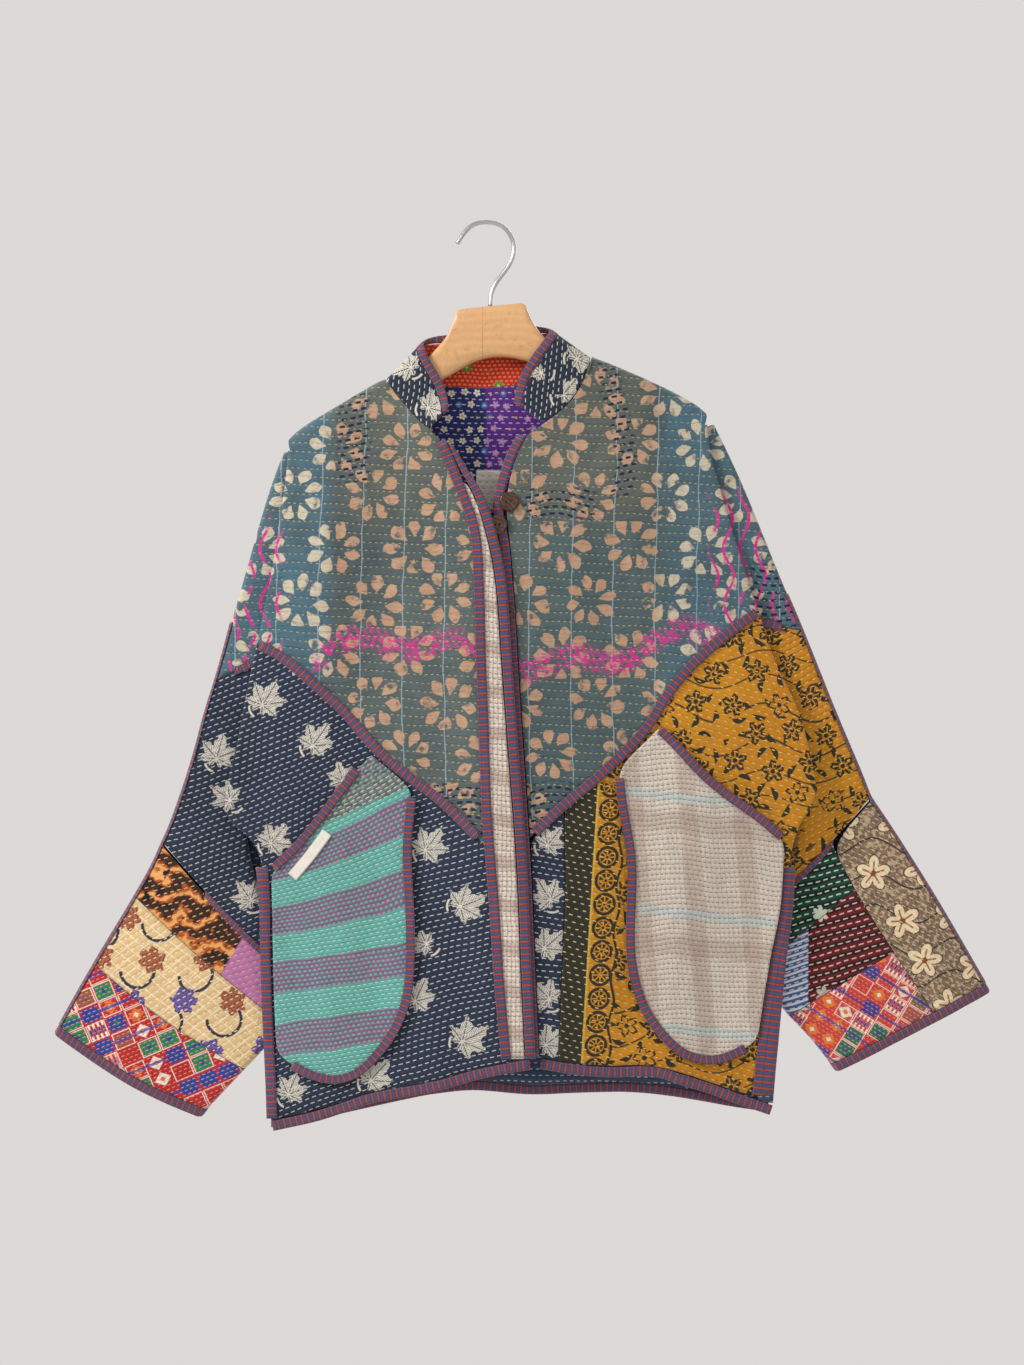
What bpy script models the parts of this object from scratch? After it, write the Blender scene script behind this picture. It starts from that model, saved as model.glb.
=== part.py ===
"""Patchwork jacket of quilted cotton, hanging on a wooden hanger.

Lengths are millimetres and become metres in add_solid. X is to the right, Z is up and the front faces -Y.
The origin is the inner top of the hanger's hook. Names ending in _l and _r are left and right as seen from the front.
"""
import math
from collections import namedtuple

import bmesh
import bpy
import numpy as np

MM = 0.001
CLOTH = 2.0
TAPE = 1.0
TAPE_HALF = 5.0
BAND_HALF_THICKNESS = 1.6
SEAM_GAP = 0.3
HEM_GAP = 1.9
LEAF_GAP = 0.8
EDGE_GAP = 1.0
CUFF_GAP = 1.6
COLLAR_GAP = 0.9
LAY_GAP = 0.5
POCKET_GAP = 2.2
POCKET_THICKNESS = 1.6
LAP_GAP = 2.1
QUILT_RISE = 0.35
RIDGE_ROUND = 10.0
ROLL_RADIUS = 2.7
ROLL_FLANGE = 9.0
PLACKET_LIFT = 7.4
HOOK_WIRE = 4.3
HANGER_HALF = 6.5
HANGER_BEVEL = 2.5
BUTTON_DIAMETER = 20.0
BUTTON_HEIGHT = 2.6
BUTTON_GAP = 1.3

FINISHES = {
    "beech": ((0.80, 0.55, 0.32), 0.45, 0.0),
    "steel": ((0.72, 0.72, 0.72), 0.3, 1.0),
    "slate_cloth": ((0.16, 0.21, 0.23), 0.85, 0.0),
    "navy_cloth": ((0.03, 0.05, 0.09), 0.85, 0.0),
    "teal_cloth": ((0.15, 0.42, 0.38), 0.85, 0.0),
    "cream_cloth": ((0.70, 0.62, 0.54), 0.85, 0.0),
    "mustard_cloth": ((0.68, 0.32, 0.02), 0.85, 0.0),
    "batik_cloth": ((0.12, 0.05, 0.02), 0.85, 0.0),
    "lattice_cloth": ((0.66, 0.48, 0.28), 0.85, 0.0),
    "red_cloth": ((0.60, 0.08, 0.08), 0.85, 0.0),
    "green_cloth": ((0.02, 0.10, 0.06), 0.85, 0.0),
    "maroon_cloth": ((0.18, 0.02, 0.02), 0.85, 0.0),
    "coral_cloth": ((0.70, 0.14, 0.11), 0.85, 0.0),
    "floral_cloth": ((0.45, 0.33, 0.22), 0.85, 0.0),
    "tape_cloth": ((0.20, 0.08, 0.12), 0.8, 0.0),
    "button_shell": ((0.06, 0.03, 0.02), 0.4, 0.0),
}

# Outlines seen from the front, each point as x, z
RIDGE_L = [(-104.5, -155), (-117, -161), (-135, -172), (-151, -181.6), (-170, -193), (-190, -205), (-201, -216)]
RIDGE_R = [(103.5, -133), (119.6, -139), (151.7, -152.6), (186, -168.7), (206, -179), (218, -190)]
COLLAR_BASE_L = [(-104.5, -155), (-93, -172.6), (-80.4, -187), (-70, -199.4), (-58, -209), (-49, -218)]
COLLAR_BASE_R = [(103.5, -133), (96.4, -154.8), (87.4, -172.6), (78.5, -183.4), (62.4, -196)]
COLLAR_EDGE_L = [(-70, -120), (-66, -135), (-58, -148), (-50, -161), (-44.5, -176), (-42.5, -192), (-43, -207)]
COLLAR_EDGE_R = [(66, -107), (60, -118), (48, -133.4), (37.4, -149.4), (31.2, -165.5), (28.5, -183.4), (30, -203)]
BACK_NECK = [(-104.5, -155), (-88, -156.5), (-60, -161), (-25, -164), (10, -164), (45, -158), (75, -149), (103.5, -133)]
COLLAR_BACK = [(-70, -120), (-62, -115), (-44, -114), (-20, -112.5), (8, -110), (30, -107), (50, -103.5), (66, -107)]
FOLD_L = [(-201, -216), (-205, -265), (-212, -308), (-217, -344), (-224, -377), (-233, -421.5)]
FOLD_R = [(218, -190), (223, -236), (232, -266), (241, -298), (250.4, -328), (259.6, -356), (270.5, -388)]
SIDE_L = [(-233, -421.5), (-242, -459.5), (-248.4, -504), (-257.5, -544), (-265, -574), (-265.5, -590), (-255, -604),
          (-238.4, -617.5), (-229, -632), (-226.5, -648), (-224.3, -736.6), (-222.3, -796), (-219.3, -855),
          (-217.5, -898.3)]
SIDE_R = [(270.5, -388), (286, -440), (304.5, -472), (316.7, -505), (322.8, -537.6), (328, -562), (326, -582),
          (314, -597), (305, -612), (302, -628), (297, -692), (288, -736.6), (281, -781), (274.5, -826), (269.2, -874.5)]
YOKE_SEAM_L = [(-233, -421.5), (-209, -433), (-187.4, -451), (-166, -470), (-144, -490), (-124.5, -514), (-107, -533),
               (-85.5, -550.6), (-64, -566), (-42, -583), (-20.4, -605), (0.5, -627)]
YOKE_SEAM_R = [(270.5, -388), (245, -407), (214.7, -431.5), (194, -452), (174, -478), (161.6, -501), (145, -521),
               (125, -539.6), (100, -562), (72, -584.5), (40.6, -615)]
HEM_L = [(-217.5, -906), (-190, -900), (-150, -888), (-120.5, -877), (-91, -871), (-51, -863), (-12, -851), (17, -844),
         (40.5, -840.5)]
HEM_R = [(52, -840.5), (80, -846), (125, -850), (169.6, -850), (192, -858), (225, -869), (259, -882), (283, -890)]
HEM_BACK = [(-224, -905), (-190, -900), (-150, -890), (-87, -877), (-51, -870), (-9, -867), (36, -873), (80, -871),
            (125, -869), (170, -869), (203, -875), (250, -884), (286, -889)]
LEAF_SEAM = [(79, -578.9), (76, -660), (72, -760), (69, -836.8)]
ARMHOLE_BACK_L = [(-199, -217), (-194, -300), (-197, -400), (-206, -500), (-217, -590), (-225, -632)]
ARMHOLE_BACK_R = [(216, -191), (222, -260), (238, -340), (258, -420), (280, -500), (294, -570), (301, -630)]

# Front edges, each row as z, x of the centre line
EDGE_A = [(-218, -49), (-245.7, -36.5), (-274, -26), (-295.5, -17), (-319, -12.2), (-350, -10.5), (-382, -9.4),
          (-436, -8), (-480, -6), (-523, -4.6), (-591.5, -2.3), (-669.6, 4.4), (-759, 10), (-838, 17.5)]
EDGE_B = [(-222, -41), (-235, -34.5), (-248, -26), (-269.5, -10.5), (-295.5, -2), (-319, 4.7), (-350, 11), (-382, 14.4),
          (-436, 17.7), (-480, 21), (-523, 24), (-569, 27.8), (-647, 33.4), (-736.6, 36.8), (-838, 41.5)]
EDGE_C = [(-206, 36.5), (-228, 24), (-256.6, 14), (-275, 9.5), (-288, 8), (-300, 10.5), (-315, 14.5), (-350, 17.5),
          (-382, 20.5), (-436, 23.5), (-480, 26), (-523, 29), (-569, 32), (-647, 37), (-736, 40.5), (-838, 45)]

# Depths of the outer faces, each row as z, y at the side, y in the middle
Depth = namedtuple("Depth", "z side middle")
FRONT_DEPTHS = [Depth(-130, -10, -10.5), Depth(-200, -10.8, -13), Depth(-229, -11.8, -15.5), Depth(-260, -12.6, -18),
                Depth(-330, -13.6, -22), Depth(-450, -14, -26), Depth(-560, -14, -28), Depth(-600, -13, -28),
                Depth(-645, -9, -28), Depth(-690, -6.5, -28), Depth(-910, -6.5, -26)]
BACK_DEPTHS = [Depth(-130, 9.5, 11), Depth(-217, 9.5, 14), Depth(-300, 9.5, 16), Depth(-400, 9, 18), Depth(-560, 7, 20),
               Depth(-646, 4, 21), Depth(-700, 3.5, 21), Depth(-910, 3.5, 18)]
Guide = namedtuple("Guide", "z left right")
BODY_GUIDES = [Guide(-130, -201, 216), Guide(-217, -203, 221), Guide(-330, -217, 252), Guide(-440, -238, 284),
               Guide(-520, -245, 304), Guide(-600, -240, 308), Guide(-660, -231, 302), Guide(-760, -225, 287),
               Guide(-910, -219, 268)]

# Long soft folds, raised where height is positive
Fold = namedtuple("Fold", "x0 z0 x1 z1 width height")
FRONT_FOLDS = [Fold(-150, -300, -190, -540, 26, 3.0), Fold(-105, -330, -140, -500, 25, -1.8),
               Fold(-140, -620, -150, -820, 26, 3.0), Fold(-192, -670, -195, -860, 24, -1.8),
               Fold(-106, -650, -110, -820, 24, -1.8), Fold(150, -280, 235, -520, 28, 3.0),
               Fold(105, -330, 155, -540, 26, -2.0), Fold(200, -600, 190, -800, 28, 3.2),
               Fold(158, -620, 158, -780, 24, -1.8), Fold(245, -660, 235, -820, 26, -1.8),
               Fold(-60, -340, -70, -500, 30, 1.4)]
BACK_FOLDS = [Fold(-90, -300, -125, -820, 32, 3.0), Fold(-40, -330, -55, -840, 30, -2.0),
              Fold(60, -260, 75, -830, 34, 3.0), Fold(130, -300, 150, -800, 32, -2.2), Fold(15, -450, 12, -850, 26, 1.6)]
SLEEVE_FOLDS = [Fold(-250, -480, -290, -590, 18, -1.6), Fold(-275, -660, -330, -800, 22, 2.0),
                Fold(-235, -720, -300, -840, 18, -1.5), Fold(310, -470, 350, -560, 18, -1.6),
                Fold(350, -640, 410, -760, 22, 2.0), Fold(310, -700, 360, -800, 18, -1.5)]

# Sections of a sleeve from the shoulder to the cuff: its overarm point, the inner end of its front half, the inner
# end of its back half, the depth of its middle, half its thickness, how far its inner side is closed, and how far
# the middle of the section bows down
Section = namedtuple("Section", "over_x over_z in_x in_z back_x back_z middle half shut bow")
UPPER_L = [Section(-206, -229, -191, -229, -185, -229, 0.5, 4.5, 0, 0), Section(-217, -255, -190, -250, -183, -255, 0.8, 6.3, 0, 0),
           Section(-231, -301, -196, -292, -184, -300, 1.2, 7.2, 0, 0), Section(-245, -351, -201, -338, -185, -345, 1.5, 8, 0, 0),
           Section(-260, -401, -211, -384, -188, -392, 1.5, 8, 0, 0), Section(-275, -458, -221, -434, -193, -440, 1.5, 8, 0, 0)]
MIDDLE_L = [UPPER_L[-1], Section(-286, -489, -229, -475, -199, -485, 2.2, 8, 0, 0),
            Section(-296, -529, -236, -520, -206, -530, 4.5, 8.2, 0, 0), Section(-306, -560, -243, -562, -211, -572, 7.5, 8.5, 0, 0),
            Section(-314, -582, -246, -598, -216, -610, 11, 9, 0.3, 2), Section(-320.5, -599, -241, -640, -225, -646, 14.5, 9, 0.7, 3),
            Section(-325, -610, -230, -681, -230, -681, 17, 9, 1, 4), Section(-328.5, -617, -212, -722, -212, -722, 18.5, 9, 1, 4),
            Section(-331, -622, -192, -766, -192, -766, 19, 9, 1, 4)]
CUFF_L = [MIDDLE_L[-1], Section(-343, -649, -196, -790, -196, -790, 19, 9, 1, 4), Section(-367, -690, -213, -815, -213, -815, 19, 9, 1, 5),
          Section(-392, -731, -238, -842, -238, -842, 18.5, 9.5, 1, 6), Section(-414, -769, -264, -869, -264, -869, 17.5, 10, 1, 7),
          Section(-434.5, -806, -285, -892, -285, -892, 17, 10, 1, 8)]
UPPER_R = [Section(226, -201, 211, -205, 203, -203, 0.5, 4.5, 0, 0), Section(243.5, -236, 213, -232, 209, -236, 0.8, 6.3, 0, 0),
           Section(263, -280, 222, -274, 215, -280, 1.2, 7.2, 0, 0), Section(281, -326, 234, -318, 224, -326, 1.5, 8, 0, 0),
           Section(300, -372, 247, -362, 236, -370, 1.5, 8, 0, 0), Section(316, -409, 256, -397, 244, -404, 1.5, 8, 0, 0)]
MIDDLE_R = [UPPER_R[-1], Section(334, -454, 274, -450, 260, -456, 2.5, 8, 0, 0), Section(349, -491, 293, -494, 271, -500, 5, 8.2, 0, 0),
            Section(361, -518, 303, -532, 280, -540, 8, 8.5, 0, 0), Section(370, -539, 309, -568, 288, -578, 11.5, 9, 0.3, 2),
            Section(377, -555, 312, -604, 300, -612, 14.5, 9, 0.7, 3), Section(381, -565, 305, -643, 305, -643, 17, 9, 1, 4),
            Section(384, -572, 288, -670, 288, -670, 18.5, 9, 1, 4), Section(386, -577, 264, -700, 264, -700, 19, 9, 1, 4)]
CUFF_R = [MIDDLE_R[-1], Section(402, -600, 266, -728, 266, -728, 19, 9, 1, 2), Section(428, -640, 276, -760, 276, -760, 19, 9, 1, 1),
          Section(454, -682, 294, -788, 294, -788, 18.5, 9.5, 1, 1), Section(480, -727, 322, -816, 322, -816, 17.5, 10, 1, 1),
          Section(501.5, -764, 345, -846, 345, -846, 17, 10, 1, 1)]

# Hanger body, each row as x, z of its top and x, z of its underside
HANGER_TOP = [(-192, -222), (-186, -213), (-170, -200), (-150, -188), (-120, -172), (-104, -163), (-85, -151), (-66, -139),
              (-55.4, -127), (-45.6, -117), (-39.4, -106.6), (-35, -94), (-32, -87), (-28, -85.3), (33, -79.5), (37, -82),
              (41, -92), (46.4, -103), (56.2, -114.6), (70, -124.5), (85, -133), (104, -143.5), (150, -160), (186, -175.5),
              (203, -184.5), (209, -193)]
HANGER_UNDER = [(-192, -226), (-186, -231), (-170, -226), (-150, -216), (-104, -190), (-70, -170), (-48.3, -157),
                (-32, -147.6), (-16, -138), (-2, -133.5), (16, -132.7), (30.3, -135), (42.8, -139.6), (70, -152),
                (104, -167), (150, -189), (186, -203), (203, -206), (209, -198)]
HOOK_LINE = [(-32, -19), (-25, -8), (-16, 0.2), (-9, 2.3), (0, 2.5), (12, -0.5), (21.4, -10.2), (25.3, -22.6), (23, -35),
             (16, -46.8), (7, -58.4), (2, -69), (1.4, -82.1)]

POCKET_TOP_L = [(-218, -649), (-209, -640), (-189.6, -622), (-172, -600.5), (-150.5, -572), (-131, -546), (-120.5, -531.5),
                (-111, -538.4), (-89, -556), (-76, -567)]
POCKET_OUTER_L = [(-218, -649), (-216.4, -736.6), (-214.8, -796), (-212.5, -834)]
POCKET_INNER_L = [(-76, -567), (-79, -594), (-82, -625), (-79.5, -677), (-78, -736.6), (-81, -776)]
POCKET_FOOT_L = [(-212.5, -834), (-193.6, -846), (-170, -857), (-150, -859), (-130, -851), (-111, -831.6), (-93, -806),
                 (-81, -776)]
POCKET_TOP_R = [(296, -618), (276, -600), (245, -578), (214.7, -554), (190, -527), (175, -511), (168, -506.5), (149, -526.6),
                (129, -546)]
POCKET_OUTER_R = [(296, -618), (291, -692), (282, -736.6), (275, -781), (269, -820)]
POCKET_INNER_R = [(129, -546), (133.9, -591.5), (143, -636), (141.7, -681), (140.6, -725), (145, -759), (154, -786)]
POCKET_FOOT_R = [(269, -820), (254, -829), (236.5, -837), (214, -839), (192, -830), (169.6, -808), (154, -786)]
MOUTH_SHARE_L = 0.66
MOUTH_SHARE_R = 0.77
LABEL_LINE = [(-161.5, -610), (-179, -634), (-197, -655)]
LABEL_HALF = 5.5
BUTTON_PLACES = [(20, -280), (8.5, -303), (17, -390)]


def smooth_curve(points):
    """Give a function of t from 0 to 1 that follows the points smoothly and evenly."""
    knots = np.array(points, float)
    steps = np.linalg.norm(np.diff(knots, axis=0), axis=1)
    chord = np.concatenate([[0.0], np.cumsum(steps)])
    chord /= chord[-1]
    slopes = np.gradient(knots, chord, axis=0)

    def at(t):
        t = min(max(t, 0.0), 1.0)
        k = min(int(np.searchsorted(chord, t, side="right")) - 1, len(knots) - 2)
        h = chord[k + 1] - chord[k]
        w = (t - chord[k]) / h
        start = (1 + 2 * w) * (1 - w) ** 2 * knots[k] + w * (1 - w) ** 2 * h * slopes[k]
        end = w * w * (3 - 2 * w) * knots[k + 1] - w * w * (1 - w) * h * slopes[k + 1]
        return start + end
    return at


def graph(rows):
    """Give a function that reads the second column of the rows at a value of the first."""
    ordered = sorted(rows)
    first = [row[0] for row in ordered]
    second = [row[1] for row in ordered]
    return lambda value: float(np.interp(value, first, second))


def joined(first, second, share):
    """Join two curves into one, the first up to the share given."""
    return lambda t: first(t / share) if t <= share else second((t - share) / (1 - share))


def stretch(curve, start, end):
    """Give the part of a curve between two shares of it."""
    return lambda t: curve(start + (end - start) * t)


def edge_curve(rows, top, bottom, shift=0.0):
    """Give the curve of a front edge between two heights, shifted to the right."""
    line = smooth_graph(rows)
    return lambda t: np.array([line(top + (bottom - top) * t) + shift, top + (bottom - top) * t])


def smooth_graph(rows):
    """Give a smooth function that reads the second column of the rows at a value of the first."""
    ordered = np.array(sorted(rows), float)
    slopes = np.gradient(ordered[:, 1], ordered[:, 0])

    def at(value):
        value = min(max(value, ordered[0, 0]), ordered[-1, 0])
        k = min(int(np.searchsorted(ordered[:, 0], value, side="right")) - 1, len(ordered) - 2)
        h = ordered[k + 1, 0] - ordered[k, 0]
        w = (value - ordered[k, 0]) / h
        start = (1 + 2 * w) * (1 - w) ** 2 * ordered[k, 1] + w * (1 - w) ** 2 * h * slopes[k]
        return start + w * w * (3 - 2 * w) * ordered[k + 1, 1] - w * w * (1 - w) * h * slopes[k + 1]
    return at


def ease(value):
    """Turn 0 to 1 into a smooth step."""
    value = min(max(value, 0.0), 1.0)
    return value * value * (3 - 2 * value)


def quarter_round(depth, radius):
    """Give the share of full thickness at a depth inside a rounded edge."""
    inside = 1.0 - min(max(depth / radius, 0.0), 1.0)
    return math.sqrt(1.0 - inside * inside)


def folds_at(folds, x, z):
    """Add up the heights of the folds at a point."""
    total = 0.0
    for fold in folds:
        run_x = fold.x1 - fold.x0
        run_z = fold.z1 - fold.z0
        share = ((x - fold.x0) * run_x + (z - fold.z0) * run_z) / (run_x ** 2 + run_z ** 2)
        share = min(max(share, 0.0), 1.0)
        distance = math.hypot(x - fold.x0 - share * run_x, z - fold.z0 - share * run_z)
        total += fold.height * math.exp(-(distance / fold.width) ** 2)
    return total


ridge_l = smooth_graph(RIDGE_L + [(-60, -129)])
ridge_r = smooth_graph(RIDGE_R + [(60, -113)])
guide_left = smooth_graph([(row.z, row.left) for row in BODY_GUIDES])
guide_right = smooth_graph([(row.z, row.right) for row in BODY_GUIDES])
front_side = smooth_graph([(row.z, row.side) for row in FRONT_DEPTHS])
front_middle = smooth_graph([(row.z, row.middle) for row in FRONT_DEPTHS])
back_side = smooth_graph([(row.z, row.side) for row in BACK_DEPTHS])
back_middle = smooth_graph([(row.z, row.middle) for row in BACK_DEPTHS])
edge_a = smooth_graph(EDGE_A)
edge_b = smooth_graph(EDGE_B)
edge_c = smooth_graph(EDGE_C)


def ridge_at(x):
    """Give the height of the shoulder line, higher than the neck where there is no shoulder."""
    if x < 0:
        return ridge_l(x)
    return ridge_r(x)


def body_depth(x, z, side, middle, folds, sign):
    """Give the depth of the body's front or back outer face."""
    left = guide_left(z)
    right = guide_right(z)
    across = min(abs(x - (left + right) / 2) / ((right - left) / 2), 1.0)
    crown = (0.5 + 0.5 * math.cos(math.pi * across)) ** 0.8
    depth = side(z) + (middle(z) - side(z)) * crown + sign * folds_at(folds, x, z)
    return depth * quarter_round(ridge_at(x) - z, RIDGE_ROUND)


def front_r(x, z):
    """Give the depth of the right front's outer face."""
    return body_depth(x, z, front_side, front_middle, FRONT_FOLDS, -1)


def front_l(x, z):
    """Give the depth of the left front's outer face, which rises to lap over the right front."""
    rise = ease((x - edge_a(z) + 50) / 44)
    return front_r(x, z) - PLACKET_LIFT * rise


def back(x, z):
    """Give the depth of the back's outer face."""
    return body_depth(x, z, back_side, back_middle, BACK_FOLDS, 1)


def met(curve, start, end):
    """Give a curve moved so that its ends lie on two points."""
    first, last = start - curve(0), end - curve(1)
    return lambda t: curve(t) + (1 - t) * first + t * last


def coons(top, bottom, outer, inner, downs, acrosses, down_map=None):
    """Fill four boundary curves with rows and columns of x, z points."""
    rows = len(downs)
    grid = np.zeros((rows, len(acrosses), 2))
    corners = (outer(down_map[0] if down_map else 0), inner(0), outer(down_map[-1] if down_map else 1), inner(1))
    top, bottom = met(top, corners[0], corners[1]), met(bottom, corners[2], corners[3])
    for i, v in enumerate(downs):
        left = outer(down_map[i] if down_map else v)
        right = inner(v)
        for j, u in enumerate(acrosses):
            flat = (1 - v) * ((1 - u) * corners[0] + u * corners[1]) + v * ((1 - u) * corners[2] + u * corners[3])
            grid[i, j] = (1 - u) * left + u * right + (1 - v) * top(u) + v * bottom(u) - flat
    return grid


def cell_normals(points, mask):
    """Give the normal at every grid point, from the cells that are there."""
    cells = np.cross(points[1:, 1:] - points[:-1, :-1], points[1:, :-1] - points[:-1, 1:])
    cells = cells * mask[:, :, None]
    normals = np.zeros_like(points)
    for i in (0, 1):
        for j in (0, 1):
            normals[i:i + cells.shape[0], j:j + cells.shape[1]] += cells
    length = np.linalg.norm(normals, axis=2, keepdims=True)
    return normals / np.maximum(length, 1e-9)


def add_solid(name, points, faces, finish):
    """Make an object of points in millimetres and faces, with its finish."""
    mesh = bpy.data.meshes.new(name)
    mesh.from_pydata([tuple(float(c) * MM for c in point) for point in points], [], faces)
    shape = bmesh.new()
    shape.from_mesh(mesh)
    bmesh.ops.recalc_face_normals(shape, faces=shape.faces)
    shape.to_mesh(mesh)
    shape.free()
    mesh.shade_smooth()
    mesh.set_sharp_from_angle(angle=math.radians(40))
    mesh.materials.append(material(finish))
    thing = bpy.data.objects.new(name, mesh)
    bpy.context.scene.collection.objects.link(thing)
    return thing


def material(finish):
    """Give the material of a finish, made once."""
    found = bpy.data.materials.get(finish)
    if found:
        return found
    made = bpy.data.materials.new(finish)
    made.use_nodes = True
    colour, roughness, metallic = FINISHES[finish]
    shader = made.node_tree.nodes["Principled BSDF"]
    shader.inputs["Base Color"].default_value = (*colour, 1.0)
    shader.inputs["Roughness"].default_value = roughness
    shader.inputs["Metallic"].default_value = metallic
    made.diffuse_color = (*colour, 1.0)
    return made


def add_sheet(name, outer, inner, finish, mask=None, ring=False):
    """Make a closed wall between an outer and an inner grid, open where the mask is empty."""
    rows, columns = outer.shape[:2]
    if mask is None:
        mask = np.ones((rows - 1, columns - 1), bool)
    used = {}
    points = []

    def vertex(side, i, j):
        key = (side, i, j)
        if key not in used:
            used[key] = len(points)
            points.append((outer if side == 0 else inner)[i, j])
        return used[key]

    def filled(i, j):
        return 0 <= i < rows - 1 and 0 <= j < columns - 1 and mask[i, j]

    faces = []
    for i in range(rows - 1):
        for j in range(columns - 1):
            if not mask[i, j]:
                continue
            corners = [(i, j), (i, j + 1), (i + 1, j + 1), (i + 1, j)]
            faces.append([vertex(0, *corner) for corner in corners])
            faces.append([vertex(1, *corner) for corner in reversed(corners)])
            beside = [(i - 1, j), (i, j + 1), (i + 1, j), (i, j - 1)]
            for k in range(4):
                if not filled(*beside[k]):
                    a, b = corners[k], corners[(k + 1) % 4]
                    faces.append([vertex(0, *b), vertex(0, *a), vertex(1, *a), vertex(1, *b)])
    return add_solid(name, points, faces, finish)


def wall(name, outer, finish, outward, mask=None, thickness=CLOTH, quilted=True, normals=None):
    """Make a cloth wall inward from its outer points, with every second row raised as quilting."""
    if mask is None:
        mask = np.ones((outer.shape[0] - 1, outer.shape[1] - 1), bool)
    if normals is None:
        normals = cell_normals(outer, mask) * outward
    inner = outer - normals * thickness
    raised = outer.copy()
    if quilted:
        raised[2:-2:2, 1:-1] += normals[2:-2:2, 1:-1] * QUILT_RISE
    add_sheet(name, raised, inner, finish, mask)


def add_loft(name, sections, finish, closed=False):
    """Make a solid through loops of points, capped at its ends unless it closes on itself."""
    count, size = sections.shape[:2]
    points = sections.reshape(-1, 3)
    faces = []
    for i in range(count if closed else count - 1):
        n = (i + 1) % count
        for k in range(size):
            m = (k + 1) % size
            faces.append([i * size + k, i * size + m, n * size + m, n * size + k])
    if not closed:
        faces.append(list(range(size)))
        faces.append([(count - 1) * size + k for k in reversed(range(size))])
    return add_solid(name, points, faces, finish)


def placed(grid, depth):
    """Turn x, z points into x, y, z points on a depth function."""
    result = np.zeros(grid.shape[:-1] + (3,))
    for index in np.ndindex(grid.shape[:-1]):
        x, z = grid[index]
        result[index] = (x, depth(x, z), z)
    return result


def even(count):
    """Give shares from 0 to 1 in a number of equal steps."""
    return [k / count for k in range(count + 1)]


def side_frames(curve, shares, outward):
    """Give the points of a curve and its level normals that point outward."""
    points = [curve(t) for t in shares]
    normals = []
    for t in shares:
        ahead = curve(min(t + 0.004, 1.0)) - curve(max(t - 0.004, 0.0))
        ahead = ahead / np.linalg.norm(ahead)
        normals.append(np.array([-ahead[1], ahead[0]]))
    turn = 1.0 if normals[0][0] * outward > 0 else -1.0
    return points, [normal * turn for normal in normals]


ROLL_ANGLES = (180, 120, 60)
RIDGE_STEPS = (0.0, 0.0025, 0.010, 0.024)


def add_front(name, top, bottom, outer, inner, downs, acrosses, depth, outward, finish, down_map=None):
    """Make a front panel whose outer side turns under in a soft roll with a hidden return."""
    shares = down_map if down_map else downs
    grid = coons(top, bottom, outer, inner, downs, acrosses, down_map)
    edges, normals = side_frames(outer, shares, outward)
    rows = len(downs)
    lead = len(ROLL_ANGLES) + 1
    points = np.zeros((rows, lead + len(acrosses), 3))
    mask = np.ones((rows - 1, lead + len(acrosses) - 1), bool)
    for i in range(rows):
        edge, normal = edges[i] - normals[i] * 0.15, normals[i]
        under_ridge = ridge_at(edge[0]) - edge[1]
        if under_ridge < RIDGE_ROUND:
            mask[max(i, 0):i + 1, :lead] = False
        centre = edge - normal * ROLL_RADIUS if under_ridge >= RIDGE_ROUND else edge
        grid[i, 0] = centre
        level = depth(*centre)
        back_level = level + 2 * ROLL_RADIUS
        points[i, 0] = (*(centre - normal * ROLL_FLANGE), back_level)
        for k, angle in enumerate(ROLL_ANGLES):
            turn = math.radians(angle)
            flat = centre + normal * ROLL_RADIUS * math.sin(turn)
            points[i, k + 1] = (*flat, level + ROLL_RADIUS - ROLL_RADIUS * math.cos(turn))
        for j in range(len(acrosses)):
            points[i, lead + j] = (*grid[i, j], depth(*grid[i, j]))
    points = points[:, :, [0, 2, 1]]
    wall(name, points, finish, outward, mask)
    return grid


def panel(name, top, bottom, outer, inner, downs, acrosses, depth, outward, finish, thickness=CLOTH, toward=0.0):
    """Make a plain panel on a depth function, moved toward the viewer."""
    grid = coons(top, bottom, outer, inner, downs, acrosses)
    points = placed(grid, depth)
    points[:, :, 1] -= toward
    wall(name, points, finish, outward, thickness=thickness)


def add_tape(name, curve, shares, depth, finish="tape_cloth", half=TAPE_HALF, toward=0.0, thickness=TAPE, crossing=None):
    """Make a tape that lies along a curve on a depth function."""
    crossing = crossing or (-half, 0.0, half)
    centres, normals = side_frames(curve, shares, 1)
    outer = np.zeros((len(shares), len(crossing), 3))
    for i, (centre, normal) in enumerate(zip(centres, normals)):
        for j, off in enumerate(crossing):
            x, z = centre + normal * off
            outer[i, j] = (x, depth(x, z) - LAY_GAP - toward - thickness, z)
    inner = outer.copy()
    inner[:, :, 1] += thickness
    add_sheet(name, outer, inner, finish)


def add_band(name, near, far, depth, finish="tape_cloth", sign=-1, ends=(0.0, 0.0)):
    """Make a folded band over a cloth edge, between the lines where it starts and ends."""
    sections = np.zeros((len(near), 5, 3))
    for i in range(len(near)):
        across = (far[i] - near[i]) / np.linalg.norm(far[i] - near[i])
        bend = far[i] - across * 1.3
        deep = [depth(*place) - sign * CLOTH / 2 for place in (near[i], bend, far[i])]
        outer = sign * BAND_HALF_THICKNESS
        sections[i, 0] = (near[i][0], deep[0] + outer, near[i][1])
        sections[i, 1] = (bend[0], deep[1] + outer, bend[1])
        sections[i, 2] = (far[i][0], deep[2], far[i][1])
        sections[i, 3] = (bend[0], deep[1] - outer, bend[1])
        sections[i, 4] = (near[i][0], deep[0] - outer, near[i][1])
    add_loft(name, sections, finish)


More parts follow.
